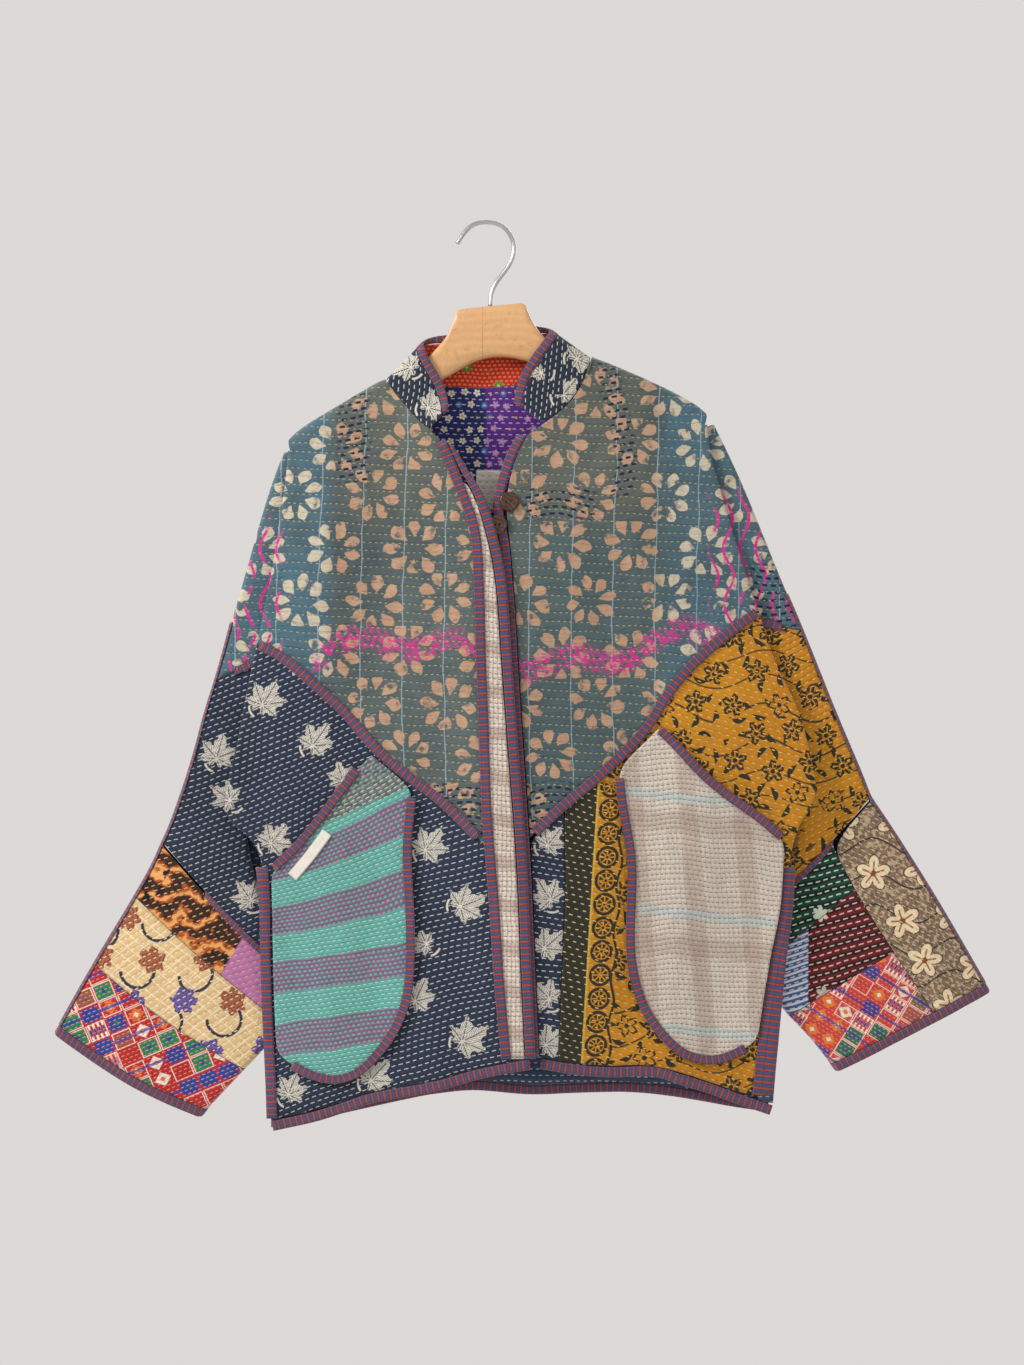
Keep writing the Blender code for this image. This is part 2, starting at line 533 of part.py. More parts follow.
def offset_line(curve, shares, off, downward):
    """Give the points beside a curve, off millimetres to its lower or upper side."""
    points = []
    for t in shares:
        ahead = curve(min(t + 0.004, 1.0)) - curve(max(t - 0.004, 0.0))
        ahead = ahead / np.linalg.norm(ahead)
        normal = np.array([-ahead[1], ahead[0]])
        normal = normal if normal[1] * downward < 0 else -normal
        points.append(curve(t) + normal * off)
    return points


def hanger():
    """Make the shaped wooden body and the steel hook."""
    top = graph(HANGER_TOP)
    under = graph(HANGER_UNDER)
    stations = sorted({x for x, _ in HANGER_TOP} | {-170.0, -16.0, 0.0, 16.0, 203.0})
    sections = np.zeros((len(stations), 8, 3))
    for i, x in enumerate(stations):
        high, low = top(x), under(x)
        cut = min(HANGER_BEVEL, (high - low) * 0.3)
        half = HANGER_HALF * (0.6 if x in (stations[0], stations[-1]) else 1.0)
        ring = [(-half, high - cut), (-half + cut, high), (half - cut, high), (half, high - cut), (half, low + cut),
                (half - cut, low), (-half + cut, low), (-half, low + cut)]
        sections[i] = [(x, y, z) for y, z in ring]
    add_loft("hanger_body", sections, "beech")
    curve = smooth_curve(HOOK_LINE)
    line = bpy.data.curves.new("hanger_hook", "CURVE")
    line.dimensions = "3D"
    line.bevel_depth = HOOK_WIRE / 2 * MM
    line.bevel_resolution = 1
    line.use_fill_caps = True
    spline = line.splines.new("POLY")
    count = 20
    spline.points.add(count)
    for k in range(count + 1):
        x, z = curve(k / count)
        spline.points[k].co = (x * MM, 0.0, z * MM, 1.0)
    line.materials.append(material("steel"))
    hook = bpy.data.objects.new("hanger_hook", line)
    bpy.context.scene.collection.objects.link(hook)


NECK_STEPS = [0.0, 0.035, 0.1, 0.24, 0.43, 0.62, 0.81]
FRONT_COLUMNS = [0.0, 0.06, 0.17, 0.28, 0.40, 0.52, 0.62]
NECK_SHARE = FRONT_COLUMNS[-1]
BACK_STEPS = [0.05, 0.13, 0.28, 0.43, 0.57, 0.72, 0.87, 0.95]


def front_columns():
    """Give the column shares of a yoke: the shoulder line's first, then the collar seam's."""
    rest = [NECK_SHARE + (1 - NECK_SHARE) * step for step in NECK_STEPS[1:] + [1.0]]
    return FRONT_COLUMNS + rest


def collar_base_r():
    """Give the right half of the collar seam, down to the right front edge."""
    return smooth_curve(COLLAR_BASE_R + [(edge_c(-212) + TAPE_HALF + EDGE_GAP, -212)])


def yokes():
    """Make both yokes of the fronts."""
    downs = list(RIDGE_STEPS) + [0.06 + 0.94 * k / 9 for k in range(10)]
    shoulder = smooth_curve(list(reversed(RIDGE_L)))
    neck = smooth_curve(COLLAR_BASE_L)
    top = joined(shoulder, neck, NECK_SHARE)
    seam = smooth_curve(YOKE_SEAM_L)
    clear = lowered(seam, -SEAM_GAP / 2)
    add_front("yoke_front_l", top, clear, stretch(smooth_curve(FOLD_L), 0.0, 0.997), edge_curve(EDGE_A, -218, -627, -SEAM_GAP / 2), downs,
              front_columns(), front_l, -1, "slate_cloth")
    top = joined(smooth_curve(list(reversed(RIDGE_R))), collar_base_r(), NECK_SHARE)
    seam = smooth_curve(YOKE_SEAM_R)
    clear = lowered(seam, -SEAM_GAP / 2)
    add_front("yoke_front_r", top, clear, stretch(smooth_curve(FOLD_R), 0.0, 0.997),
              edge_curve(EDGE_C, -212, -615, TAPE_HALF + EDGE_GAP), downs, front_columns(), front_r, 1, "slate_cloth")


def lowered(curve, drop):
    """Give a curve moved down by a drop."""
    return lambda t: curve(t) - np.array([0.0, drop])


NOTCH_ROWS = [0, 0.1, 0.2, 0.28, 0.33, 0.362, 0.39, 0.42, 0.46, 0.55, 0.66, 0.78, 0.89, 1.0]


def lower_fronts():
    """Make the lower fronts, the right one in two cloths."""
    hem_top = smooth_curve(HEM_L)
    foot = [point + np.array([0, TAPE_HALF + HEM_GAP]) for point in map(hem_top, even(12))]
    foot = smooth_curve([np.array([-217.5, -898.3])] + [p for p in foot if -205 < p[0] < 17.0] + [np.array([17.2, -838.0])])
    downs = even(len(NOTCH_ROWS) - 1)
    add_front("lower_front_l", lowered(smooth_curve(YOKE_SEAM_L), SEAM_GAP / 2), foot,
              stretch(smooth_curve(SIDE_L), 0.001, 1.0),
              edge_curve(EDGE_A, -627.3, -838.0, -SEAM_GAP / 2), downs, front_columns(), front_l, -1, "navy_cloth",
              NOTCH_ROWS)
    seam = smooth_curve(YOKE_SEAM_R)
    columns = front_columns()
    share = columns[-3]
    outer_seam = stretch(seam, 0.0, share)
    corner = seam(share)
    leaf = smooth_curve([corner - np.array([0, 1.5 * EDGE_GAP])] + LEAF_SEAM[1:])
    hem = smooth_curve(HEM_R)
    foot_points = [hem(t) + np.array([0, TAPE_HALF + HEM_GAP]) for t in even(14)]
    right_foot = smooth_curve([np.array([269.2, -874.5])] + [p for p in reversed(foot_points) if 72 < p[0] < 262]
                              + [np.array([69, -836.8])])
    add_front("lower_front_r_mustard", lowered(outer_seam, SEAM_GAP / 2), right_foot,
              stretch(smooth_curve(SIDE_R), 0.001, 1.0),
              shifted(leaf, LEAF_GAP / 2), downs, [column / share for column in columns[:-2]], front_r, 1, "mustard_cloth",
              NOTCH_ROWS)
    inner_seam = stretch(seam, 1.0, share)
    left_foot = smooth_curve([np.array([51, -833.4]), np.array([60, -834.8]), np.array([69, -836.8])])
    panel("lower_front_r_navy", lowered(inner_seam, 2 * EDGE_GAP), left_foot,
          edge_curve(EDGE_C, -617.2, -833.4, TAPE_HALF + EDGE_GAP), shifted(leaf, -LEAF_GAP / 2), downs,
          [(1 - column) / (1 - share) for column in reversed(columns[-3:])],
          front_r, -1, "navy_cloth")


def shifted(curve, right):
    """Give a curve moved to the right."""
    return lambda t: curve(t) + np.array([right, 0.0])


WRAP_FLAT = 2.0
SIDE_GAP = 1.0
WRAP_ANGLES = (0, 40, 85, 135)


def wrap_width(z, outward):
    """Give the flat run between the side seam and the side's round."""
    if outward < 0:
        return WRAP_FLAT
    return WRAP_FLAT + 10.0 * ease((-640 - z) / 200)


def wrap_points(seam, outward):
    """Give the points from a side seam round the side to the back."""
    x, z = seam
    near, far = front_r(x, z), back(x, z)
    radius = (far - near) / 2
    start = x + outward * wrap_width(z, outward)
    points = [(x + outward * SIDE_GAP, near, z)]
    for angle in WRAP_ANGLES:
        turn = math.radians(angle)
        points.append((start + outward * radius * math.sin(turn), near + radius - radius * math.cos(turn), z))
    return points, (start, far, z)


SIDE_TOP = -646.0
SIDE_ROWS = 9
ARM_ROWS = 7


def below(curve, height):
    """Give the part of a curve that lies below a height."""
    start = next(t for t in even(2000) if curve(t)[1] <= height)
    return stretch(curve, start, 1.0)


def back_panel():
    """Make the back, which wraps round both sides below the arms to the front side seams."""
    arm_l, arm_r = smooth_curve(ARMHOLE_BACK_L), smooth_curve(ARMHOLE_BACK_R)
    side_l = below(smooth_curve(SIDE_L), SIDE_TOP)
    side_r = below(smooth_curve(SIDE_R), SIDE_TOP)
    left, right, wraps_l, wraps_r = [], [], [], []
    arm_shares = list(RIDGE_STEPS) + [0.07 + 0.93 * k / ARM_ROWS for k in range(ARM_ROWS)]
    for t in arm_shares:
        left.append(arm_l(t))
        right.append(arm_r(t))
        wraps_l.append(None)
        wraps_r.append(None)
    for k in range(SIDE_ROWS + 1):
        for side, rows, wraps, outward in ((side_l, left, wraps_l, -1), (side_r, right, wraps_r, 1)):
            points, edge = wrap_points(side(k / SIDE_ROWS), outward)
            rows.append(np.array([edge[0], edge[2]]))
            wraps.append(points)
    shoulder_l = smooth_curve(list(reversed(RIDGE_L)))
    shoulder_r = smooth_curve(RIDGE_R)
    neck = smooth_curve(BACK_NECK)
    columns = [0.28 * k / 3 for k in range(4)] + [0.28 + 0.44 * k for k in BACK_STEPS]
    columns += [0.72 + 0.28 * k / 3 for k in range(4)]

    def top(u):
        if u <= 0.28:
            return shoulder_l(u / 0.28)
        if u <= 0.72:
            return neck((u - 0.28) / 0.44)
        return shoulder_r((u - 0.72) / 0.28)
    hem = smooth_curve(HEM_BACK)
    foot_l, foot_r = left[-1], right[-1]

    def bottom(u):
        point = hem(0.03 + 0.94 * u) + np.array([0, TAPE_HALF])
        blend_l, blend_r = max(0.0, 1 - u / 0.12), max(0.0, 1 - (1 - u) / 0.12)
        return point * (1 - blend_l - blend_r) + foot_l * blend_l + foot_r * blend_r
    for k, drop in enumerate((4.5, 8.0, 8.5, 8.5, 8.5)[:len(wraps_r[-1])]):
        x, y, z = wraps_r[-1][k]
        wraps_r[-1][k] = (x, y, z - drop)
    foot_r[1] -= 8.5
    rows = len(left)
    downs = np.interp(range(rows), [0, 3, rows - 1], [0, 0.03, 1.0])
    lead = len(WRAP_ANGLES) + 1
    points = np.zeros((rows, 2 * lead + len(columns), 3))
    mask = np.ones((rows - 1, points.shape[1] - 1), bool)
    for i in range(rows):
        v = float(downs[i])
        for j, u in enumerate(columns):
            flat = (1 - v) * ((1 - u) * top(0) + u * top(1)) + v * ((1 - u) * bottom(0) + u * bottom(1))
            place = (1 - u) * left[i] + u * right[i] + (1 - v) * top(u) + v * bottom(u) - flat
            points[i, lead + j] = (place[0], back(*place), place[1])
        if wraps_l[i] is None:
            mask[i, :lead] = False
            mask[i, -lead:] = False
            continue
        for k in range(lead):
            points[i, k] = wraps_l[i][k]
            points[i, -1 - k] = wraps_r[i][k]
    wall("back_panel", points, "slate_cloth", 1, mask)
    return points, lead


def sleeve_stations(rows, count):
    """Read sections along a sleeve piece at even steps."""
    table = np.array(rows, float)
    chord = np.linspace(0, 1, len(rows))
    slopes = np.gradient(table, chord, axis=0)
    result = []
    for k in range(count + 1):
        t = k / count
        n = min(int(t * (len(rows) - 1)), len(rows) - 2)
        h = chord[n + 1] - chord[n]
        w = (t - chord[n]) / h
        value = (1 + 2 * w) * (1 - w) ** 2 * table[n] + w * (1 - w) ** 2 * h * slopes[n]
        value = value + w * w * (3 - 2 * w) * table[n + 1] - w * w * (1 - w) * h * slopes[n + 1]
        result.append(Section(*value))
    return result


NEAR_STEPS = (0.0, 1.0, 3.2, 7.0)
SLEEVE_ROUND = 6.5


def across_steps(width, split=None):
    """Give distances from the overarm across a sleeve, fine at both ends."""
    scale = min(1.0, width / 22.0)
    near = [step * scale for step in NEAR_STEPS]
    middle = [near[-1] + (width - 2 * near[-1]) * k / 3 for k in (1, 2)]
    return near + middle + [width - step for step in reversed(near)]


def sleeve_point(section, distance, width, front):
    """Give a point of a sleeve's front or back half at a distance from the overarm."""
    over = np.array([section.over_x, section.over_z])
    inner = np.array([section.in_x, section.in_z]) if front else np.array([section.back_x, section.back_z])
    share = distance / width
    shut = min(max(section.shut, 0.0), 1.0)
    along = (inner - over) / width
    place = over + along * distance + section.bow * 4 * share * (1 - share) * np.array([-abs(along[1]), -abs(along[0])]) \
        * np.array([1 if section.over_x < 0 else -1, 1])
    scale = min(1.0, width / 22.0)
    radius = SLEEVE_ROUND * scale
    rounds = quarter_round(distance, radius) * (1 - shut + shut * quarter_round(width - distance, radius))
    if front:
        level = -section.half
        level += -folds_at(SLEEVE_FOLDS, *place)
    else:
        lap = back(*inner) + CLOTH + LAP_GAP - section.middle
        level = section.half + (lap - section.half) * (1 - shut) * ease(share / np.interp(width, [25, 80], [0.27, 0.6]))
        level += 0.7 * folds_at(SLEEVE_FOLDS, *place)
    seam = SEAM_GAP / 2 if not front else -SEAM_GAP / 2
    return np.array([place[0], section.middle + seam + level * rounds, place[1]])


def sleeve_half(stations, front):
    """Give the outer grid of a sleeve piece."""
    grid = []
    for section in stations:
        inner = np.array([section.in_x, section.in_z]) if front else np.array([section.back_x, section.back_z])
        width = float(np.linalg.norm(inner - np.array([section.over_x, section.over_z])))
        grid.append([sleeve_point(section, distance, width, front) for distance in across_steps(width)])
    return np.array(grid)


def trimmed(grid, start, end):
    """Move the first and last rows of a grid inward by the gaps given."""
    result = grid.copy()
    for row, beside, gap in ((0, 1, start), (-1, -2, end)):
        step = grid[beside] - grid[row]
        length = np.linalg.norm(step, axis=1, keepdims=True)
        result[row] = grid[row] + step / length * np.minimum(gap, length * 0.5)
    return result


SLEEVE_ROWS = {"upper": 5, "middle": 8, "cuff": 6}
CUFF_BANDS_L = [("cuff_batik_l", "batik_cloth", 0, 2), ("cuff_lattice_l", "lattice_cloth", 2, 4), ("cuff_red_l", "red_cloth", 4, 6)]
CUFF_BANDS_R = [("cuff_green_r", "green_cloth", 0, 2), ("cuff_maroon_r", "maroon_cloth", 2, 4), ("cuff_coral_r", "coral_cloth", 4, 6)]
FLORAL_COLUMNS = 4


def levelled(normals):
    """Turn the normals at the folded edges of a sleeve level, so that its halves do not meet."""
    for column in (0, -1):
        for row in range(normals.shape[0]):
            flat = math.hypot(normals[row, column, 0], normals[row, column, 2])
            if flat > 0.5:
                normals[row, column] = (normals[row, column, 0] / flat, 0.0, normals[row, column, 2] / flat)
    return normals


def sleeve(side, tables, outward, bands):
    """Make one sleeve: front and back pieces, its tapes and its cuff edge."""
    grids, turned = {}, {}
    spans = {"upper": (0, 5), "middle": (5, 13), "cuff": (13, 19)}
    for front in (True, False):
        halves = [sleeve_half(sleeve_stations(rows, SLEEVE_ROWS[part]), front)
                  for part, rows in zip(("upper", "middle", "cuff"), tables)]
        whole = np.concatenate([halves[0], halves[1][1:], halves[2][1:]])
        mask = np.ones((whole.shape[0] - 1, whole.shape[1] - 1), bool)
        normals = levelled(cell_normals(whole, mask) * (outward if front else -outward))
        for part, (first, last) in spans.items():
            grids[part, front] = whole[first:last + 1]
            turned[part, front] = normals[first:last + 1]
    for part, finish in (("upper", "slate_cloth"), ("middle", "navy_cloth" if side == "l" else "mustard_cloth")):
        for front in (True, False):
            grid = trimmed(grids[part, front], SEAM_GAP, SEAM_GAP if part == "upper" else CUFF_GAP)
            face = "front" if front else "back"
            wall(f"sleeve_{part}_{face}_{side}", grid, finish, 0, normals=turned[part, front])
    start = FLORAL_COLUMNS if side == "r" else 0
    cuff, normals = grids["cuff", True], turned["cuff", True]
    for name, finish, first, last in bands:
        piece = trimmed(cuff[first:last + 1, start:], SEAM_GAP if first else CUFF_GAP, SEAM_GAP)
        if start:
            piece = trimmed(piece.transpose(1, 0, 2), SEAM_GAP, 0.0).transpose(1, 0, 2)
        wall(name, piece, finish, 0, quilted=False, normals=normals[first:last + 1, start:])
    if start:
        piece = trimmed(cuff[:, :start + 1], CUFF_GAP, SEAM_GAP)
        piece = trimmed(piece.transpose(1, 0, 2), 0.0, SEAM_GAP).transpose(1, 0, 2)
        wall("cuff_floral_r", piece, "floral_cloth", 0, quilted=False, normals=normals[:, :start + 1])
    backing = trimmed(grids["cuff", False], CUFF_GAP, SEAM_GAP)
    wall(f"sleeve_cuff_back_{side}", backing, "lattice_cloth" if side == "l" else "mustard_cloth", 0,
         normals=turned["cuff", False])
    sleeve_tapes(side, grids, turned)


def sleeve_tapes(side, grids, turned):
    """Make the seam tapes, overarm tape and cuff edge of a sleeve."""
    first = 4
    for part, name in (("upper", "tape_sleeve"), ("middle", "tape_cuff_seam")):
        above, below_it = grids[part, True], grids["middle" if part == "upper" else "cuff", True]
        end = -3 if part == "middle" else above.shape[1]
        seam = above[-1, first:end]
        normals = turned[part, True][-1, first:end]
        up = above[-2, first:end] - seam
        down = below_it[1, first:end] - seam
        size_up = np.linalg.norm(up, axis=1, keepdims=True)
        size_down = np.linalg.norm(down, axis=1, keepdims=True)
        rows = np.stack([seam + up / size_up * np.minimum(TAPE_HALF, size_up * 0.9), seam,
                         seam + down / size_down * np.minimum(TAPE_HALF, size_down * 0.9)])
        add_sheet(f"{name}_{side}", rows + normals * (LAY_GAP + 0.2 + TAPE), rows + normals * (LAY_GAP + 0.2), "tape_cloth")
    fronts = np.concatenate([grids["upper", True], grids["middle", True][1:], grids["cuff", True][1:]])
    backs = np.concatenate([grids["upper", False], grids["middle", False][1:], grids["cuff", False][1:]])
    out_front = np.concatenate([turned["upper", True], turned["middle", True][1:], turned["cuff", True][1:]])
    out_back = np.concatenate([turned["upper", False], turned["middle", False][1:], turned["cuff", False][1:]])
    start = 4
    wrap = np.concatenate([fronts[start:, 2:0:-1], fronts[start:, :1] * 0.5 + backs[start:, :1] * 0.5,
                           backs[start:, 1:3]], axis=1)
    out = np.concatenate([out_front[start:, 2:0:-1], out_front[start:, :1], out_back[start:, 1:3]], axis=1)
    wrap = trimmed(wrap, 0.0, SEAM_GAP)
    add_sheet(f"tape_overarm_{side}", wrap + out * (LAY_GAP + TAPE), wrap + out * LAY_GAP, "tape_cloth")
    cuff_edge(side, grids)


def cuff_edge(side, grids):
    """Make the band round the open end of a cuff."""
    front, rear = grids["cuff", True], grids["cuff", False]
    ring = np.concatenate([front[-1], rear[-1, -2:0:-1]])
    before = np.concatenate([front[-2], rear[-2, -2:0:-1]])
    count = len(ring)
    tangent = np.roll(ring, -1, axis=0) - np.roll(ring, 1, axis=0)
    tangent /= np.linalg.norm(tangent, axis=1, keepdims=True)
    reach = ring - before
    reach = reach.mean(axis=0)
    reach /= np.linalg.norm(reach)
    outward = np.cross(tangent, reach)
    outward /= np.linalg.norm(outward, axis=1, keepdims=True)
    centre = ring.mean(axis=0)
    if np.sum((ring - centre) * outward) < 0:
        outward = -outward
    middle = ring - outward * CLOTH / 2
    sections = np.zeros((count, 5, 3))
    half = BAND_HALF_THICKNESS
    long = 2 * TAPE_HALF
    near = SEAM_GAP
    sections[:, 0] = middle + outward * half + reach * near
    sections[:, 1] = middle + outward * half + reach * (long - 1.3)
    sections[:, 2] = middle + reach * long
    sections[:, 3] = middle - outward * half + reach * (long - 1.3)
    sections[:, 4] = middle - outward * half + reach * near
    add_loft(f"tape_cuff_edge_{side}", sections, "tape_cloth", closed=True)


def collar():
    """Make the collar from the left front, round the neck, to the right front, and its edge band."""
    base_l, edge_l = smooth_curve(COLLAR_BASE_L), smooth_curve(COLLAR_EDGE_L)
    base_r, edge_r = collar_base_r(), smooth_curve(COLLAR_EDGE_R)
    neck, top = smooth_curve(BACK_NECK), smooth_curve(COLLAR_BACK)
    side_depth = graph([(0, 0), (0.035, -5.5), (0.1, -10), (0.24, -11.5), (0.5, -12), (0.8, -13.5)])
    back_depth = graph([(0, 0), (0.05, 9), (0.15, 12.5), (0.5, 15.5), (0.85, 12.5), (0.95, 9), (1, 0)])
    rows = []
    steps = NECK_STEPS
    for t in reversed(steps):
        rows.append((base_l(t), edge_l(t), front_l(*base_l(t)), side_depth(t) if t < 0.8 else front_l(*edge_l(t))))
    for t in BACK_STEPS:
        rows.append((neck(t), top(t), back(*neck(t)), back_depth(t)))
    for t in steps:
        rows.append((base_r(t), edge_r(t), front_r(*base_r(t)), side_depth(t) if t < 0.8 else front_r(*edge_r(t))))
    band = 2 * TAPE_HALF - 1.0
    cloth, sections = [], []
    for base, edge, y_base, y_edge in rows:
        low = np.array([base[0], y_base, base[1]])
        high = np.array([edge[0], y_edge, edge[1]])
        length = np.linalg.norm(high - low)
        along = (high - low) / length
        start = low + along * COLLAR_GAP
        high_end = length - band / 2 - COLLAR_GAP
        cloth.append([start + (low + along * high_end - start) * s for s in (0, 0.33, 0.67, 1)])
        sections.append((low + along * (length - band / 2), low + along * (length + band / 2), along))
    cloth = np.array(cloth)
    mask = np.ones((cloth.shape[0] - 1, 3), bool)
    normals = cell_normals(cloth, mask)
    wall("collar", cloth, "navy_cloth", 1 if normals[0, 0, 1] < 0 else -1, quilted=False)
    edge_normals = normals[:, -1] * (1 if normals[0, 0, 1] < 0 else -1)
    loops = np.zeros((len(sections), 5, 3))
    for i, (near, far, along) in enumerate(sections):
        out = edge_normals[i] - along * np.dot(edge_normals[i], along)
        out /= np.linalg.norm(out)
        near, far = near - out * CLOTH / 2, far - out * CLOTH / 2
        bend = far - along * 1.3
        half = BAND_HALF_THICKNESS
        loops[i] = [near + out * half, bend + out * half, far, bend - out * half, near - out * half]
    add_loft("tape_collar", loops, "tape_cloth")


def placket():
    """Make the placket band and the tapes of both front edges."""
    heights = list(np.interp(even(16), [0, 0.4, 1], [-262, -400, -834.5]))
    cloth = []
    for z in heights:
        left = edge_a(z) + SEAM_GAP * 2
        right = max(edge_b(z) - TAPE_HALF, edge_a(z) + TAPE_HALF + 1.2) - 1.0
        cloth.append([(x, front_l(x, z), z) for x in (left, (left + right) / 2, right)])
    wall("placket", np.array(cloth), "cream_cloth", -1, quilted=False)
    a_heights = list(np.interp(even(20), [0, 0.4, 1], [-219.5, -400, -834.5]))
    a_curve = edge_curve(EDGE_A, -219.5, -834.5)
    shares = [(z + 219.5) / (-834.5 + 219.5) for z in a_heights]
    add_tape("tape_placket", a_curve, shares, front_l)
    b_heights = list(np.interp(even(18), [0, 0.4, 1], [-224, -400, -834.5]))
    near = [np.array([max(edge_b(z) - TAPE_HALF, edge_a(z) + TAPE_HALF + 1.2), z]) for z in b_heights]
    far = [np.array([edge_b(z) + TAPE_HALF, z]) for z in b_heights]
    add_band("tape_front_l", near, far, front_l)
    c_heights = list(np.interp(even(20), [0, 0.5, 1], [-212.5, -400, -834.5]))
    near = [np.array([edge_c(z) + TAPE_HALF, z]) for z in c_heights]
    far = [np.array([edge_c(z) - TAPE_HALF, z]) for z in c_heights]
    add_band("tape_front_r", near, far, front_r)


def seam_tapes():
    """Make the tapes of the yoke seams, side seams and hems."""
    seam = smooth_curve(YOKE_SEAM_L)
    add_tape("tape_yoke_l", seam, [0.012 + 0.93 * k / 13 for k in range(14)], front_l, toward=0.4)
    seam = smooth_curve(YOKE_SEAM_R)
    add_tape("tape_yoke_r", seam, [0.012 + 0.965 * k / 13 for k in range(14)], front_r, toward=0.4)
    for side, rows, outward in (("l", SIDE_L, -1), ("r", SIDE_R, 1)):
        line = below(smooth_curve(rows), SIDE_TOP)
        outer, inner = [], []
        for k in range(SIDE_ROWS + 1):
            point = line(k / SIDE_ROWS)
            wrap, _ = wrap_points(point, outward)
            x, z = point
            inside = x - outward * TAPE_HALF
            base = [np.array(wrap[2]), np.array(wrap[1]), np.array([x, wrap[0][1], z]),
                    np.array([inside, front_r(inside, z), z])]
            outs = [np.array([outward * 0.5, -0.866, 0]), np.array([0, -1.0, 0]), np.array([0, -1.0, 0]), np.array([0, -1.0, 0])]
            inner.append([place + out * (LAY_GAP + 0.1) for place, out in zip(base, outs)])
            outer.append([place + out * (LAY_GAP + 0.1 + TAPE) for place, out in zip(base, outs)])
        add_sheet(f"tape_side_{side}", np.array(outer), np.array(inner), "tape_cloth")
    shares = even(14)
    for name, rows, depth, sign, first, last in (("tape_hem_l", HEM_L, front_l, -1, 0.0, 1.0),
                                                 ("tape_hem_r", HEM_R, front_r, -1, 0.0, 1.0)):
        hem = smooth_curve(rows)
        used = [first + (last - first) * t for t in shares]
        near = offset_line(hem, used, TAPE_HALF, -1)
        far = offset_line(hem, used, TAPE_HALF, 1)
        add_band(name, near, far, depth, sign=sign)


def back_hem(points, lead):
    """Make the hem tape of the back, in line with the back's last row."""
    row = points[-1, lead:-lead]
    sections = np.zeros((len(row), 5, 3))
    half = BAND_HALF_THICKNESS
    long = 2 * TAPE_HALF
    for i, (x, y, z) in enumerate(row):
        middle = y - CLOTH / 2
        top = z - SEAM_GAP
        sections[i] = [(x, middle + half, top), (x, middle + half, top - long + 1.3), (x, middle, top - long),
                       (x, middle - half, top - long + 1.3), (x, middle - half, top)]
    add_loft("tape_hem_back", sections, "tape_cloth")


def pockets():
    """Make both patch pockets with the tapes of their edges and mouths."""
    for side, top, foot, outer, inner, depth, outward, finish, share in (
            ("l", POCKET_TOP_L, POCKET_FOOT_L, POCKET_OUTER_L, POCKET_INNER_L, front_l, -1, "teal_cloth", MOUTH_SHARE_L),
            ("r", POCKET_TOP_R, POCKET_FOOT_R, POCKET_OUTER_R, POCKET_INNER_R, front_r, 1, "cream_cloth", MOUTH_SHARE_R)):
        lift = POCKET_GAP + POCKET_THICKNESS
        panel(f"pocket_{side}", smooth_curve(top), smooth_curve(foot), smooth_curve(outer), smooth_curve(inner), even(11),
              even(8), depth, outward, finish, POCKET_THICKNESS, lift)
        mouth = smooth_curve(top)
        add_tape(f"tape_mouth_{side}", mouth, [0.02 + (share - 0.045) * k / 8 for k in range(9)], depth, toward=lift + 0.3,
                 half=4.5)
        edge = joined(smooth_curve(inner), smooth_curve(list(reversed(foot))), 0.5)
        add_tape(f"tape_pocket_{side}", edge, [0.02 + 0.93 * k / 14 for k in range(15)], depth, toward=lift + 0.3, half=4.5)
    add_tape("label", smooth_curve(LABEL_LINE), even(4), front_l, "cream_cloth", LABEL_HALF,
             POCKET_GAP + POCKET_THICKNESS + 0.4, 0.8)


def buttons():
    """Make the two-hole buttons that show at the front edge."""
    for number, (x, z) in enumerate(BUTTON_PLACES, 1):
        ground = front_r(x, z) - BUTTON_GAP
        rim = BUTTON_DIAMETER / 2
        outline = [(0.0, 0.0), (rim - 0.8, 0.0), (rim, 1.4), (rim - 1.2, BUTTON_HEIGHT), (rim - 3, BUTTON_HEIGHT - 0.6),
                   (0.0, BUTTON_HEIGHT - 0.8)]
        turns = 14
        points, faces = [(x, ground, z), (x, ground - outline[-1][1], z)], []
        for radius, height in outline[1:-1]:
            for k in range(turns):
                turn = 2 * math.pi * k / turns
                points.append((x + radius * math.cos(turn), ground - height, z + radius * math.sin(turn)))
        rings = len(outline) - 2
        for k in range(turns):
            n = (k + 1) % turns
            faces.append([0, 2 + k, 2 + n])
            last = 2 + (rings - 1) * turns
            faces.append([1, last + n, last + k])
            for ring in range(rings - 1):
                low, high = 2 + ring * turns, 2 + (ring + 1) * turns
                faces.append([low + k, low + n, high + n, high + k])
        button = add_solid(f"button_{number}", points, faces, "button_shell")
        for hole, side in enumerate((-1, 1)):
            cutter = button_cutter(f"button_{number}_hole_{hole}", x + side * 2.2, ground - BUTTON_HEIGHT / 2, z)
            cut = button.modifiers.new(f"hole_{hole}", "BOOLEAN")
            cut.operation = "DIFFERENCE"
            cut.object = cutter


def button_cutter(name, x, y, z):
    """Make the guide that cuts one thread hole."""
    mesh = bpy.data.meshes.new(name)
    shape = bmesh.new()
    bmesh.ops.create_cone(shape, cap_ends=True, segments=6, radius1=1.0 * MM, radius2=1.0 * MM, depth=10 * MM)
    shape.to_mesh(mesh)
    shape.free()
    cutter = bpy.data.objects.new(name, mesh)
    cutter.location = (x * MM, y * MM, z * MM)
    cutter.rotation_euler = (math.radians(90), 0, 0)
    cutter.hide_render = True
    cutter.display_type = "WIRE"
    bpy.context.scene.collection.objects.link(cutter)
    return cutter


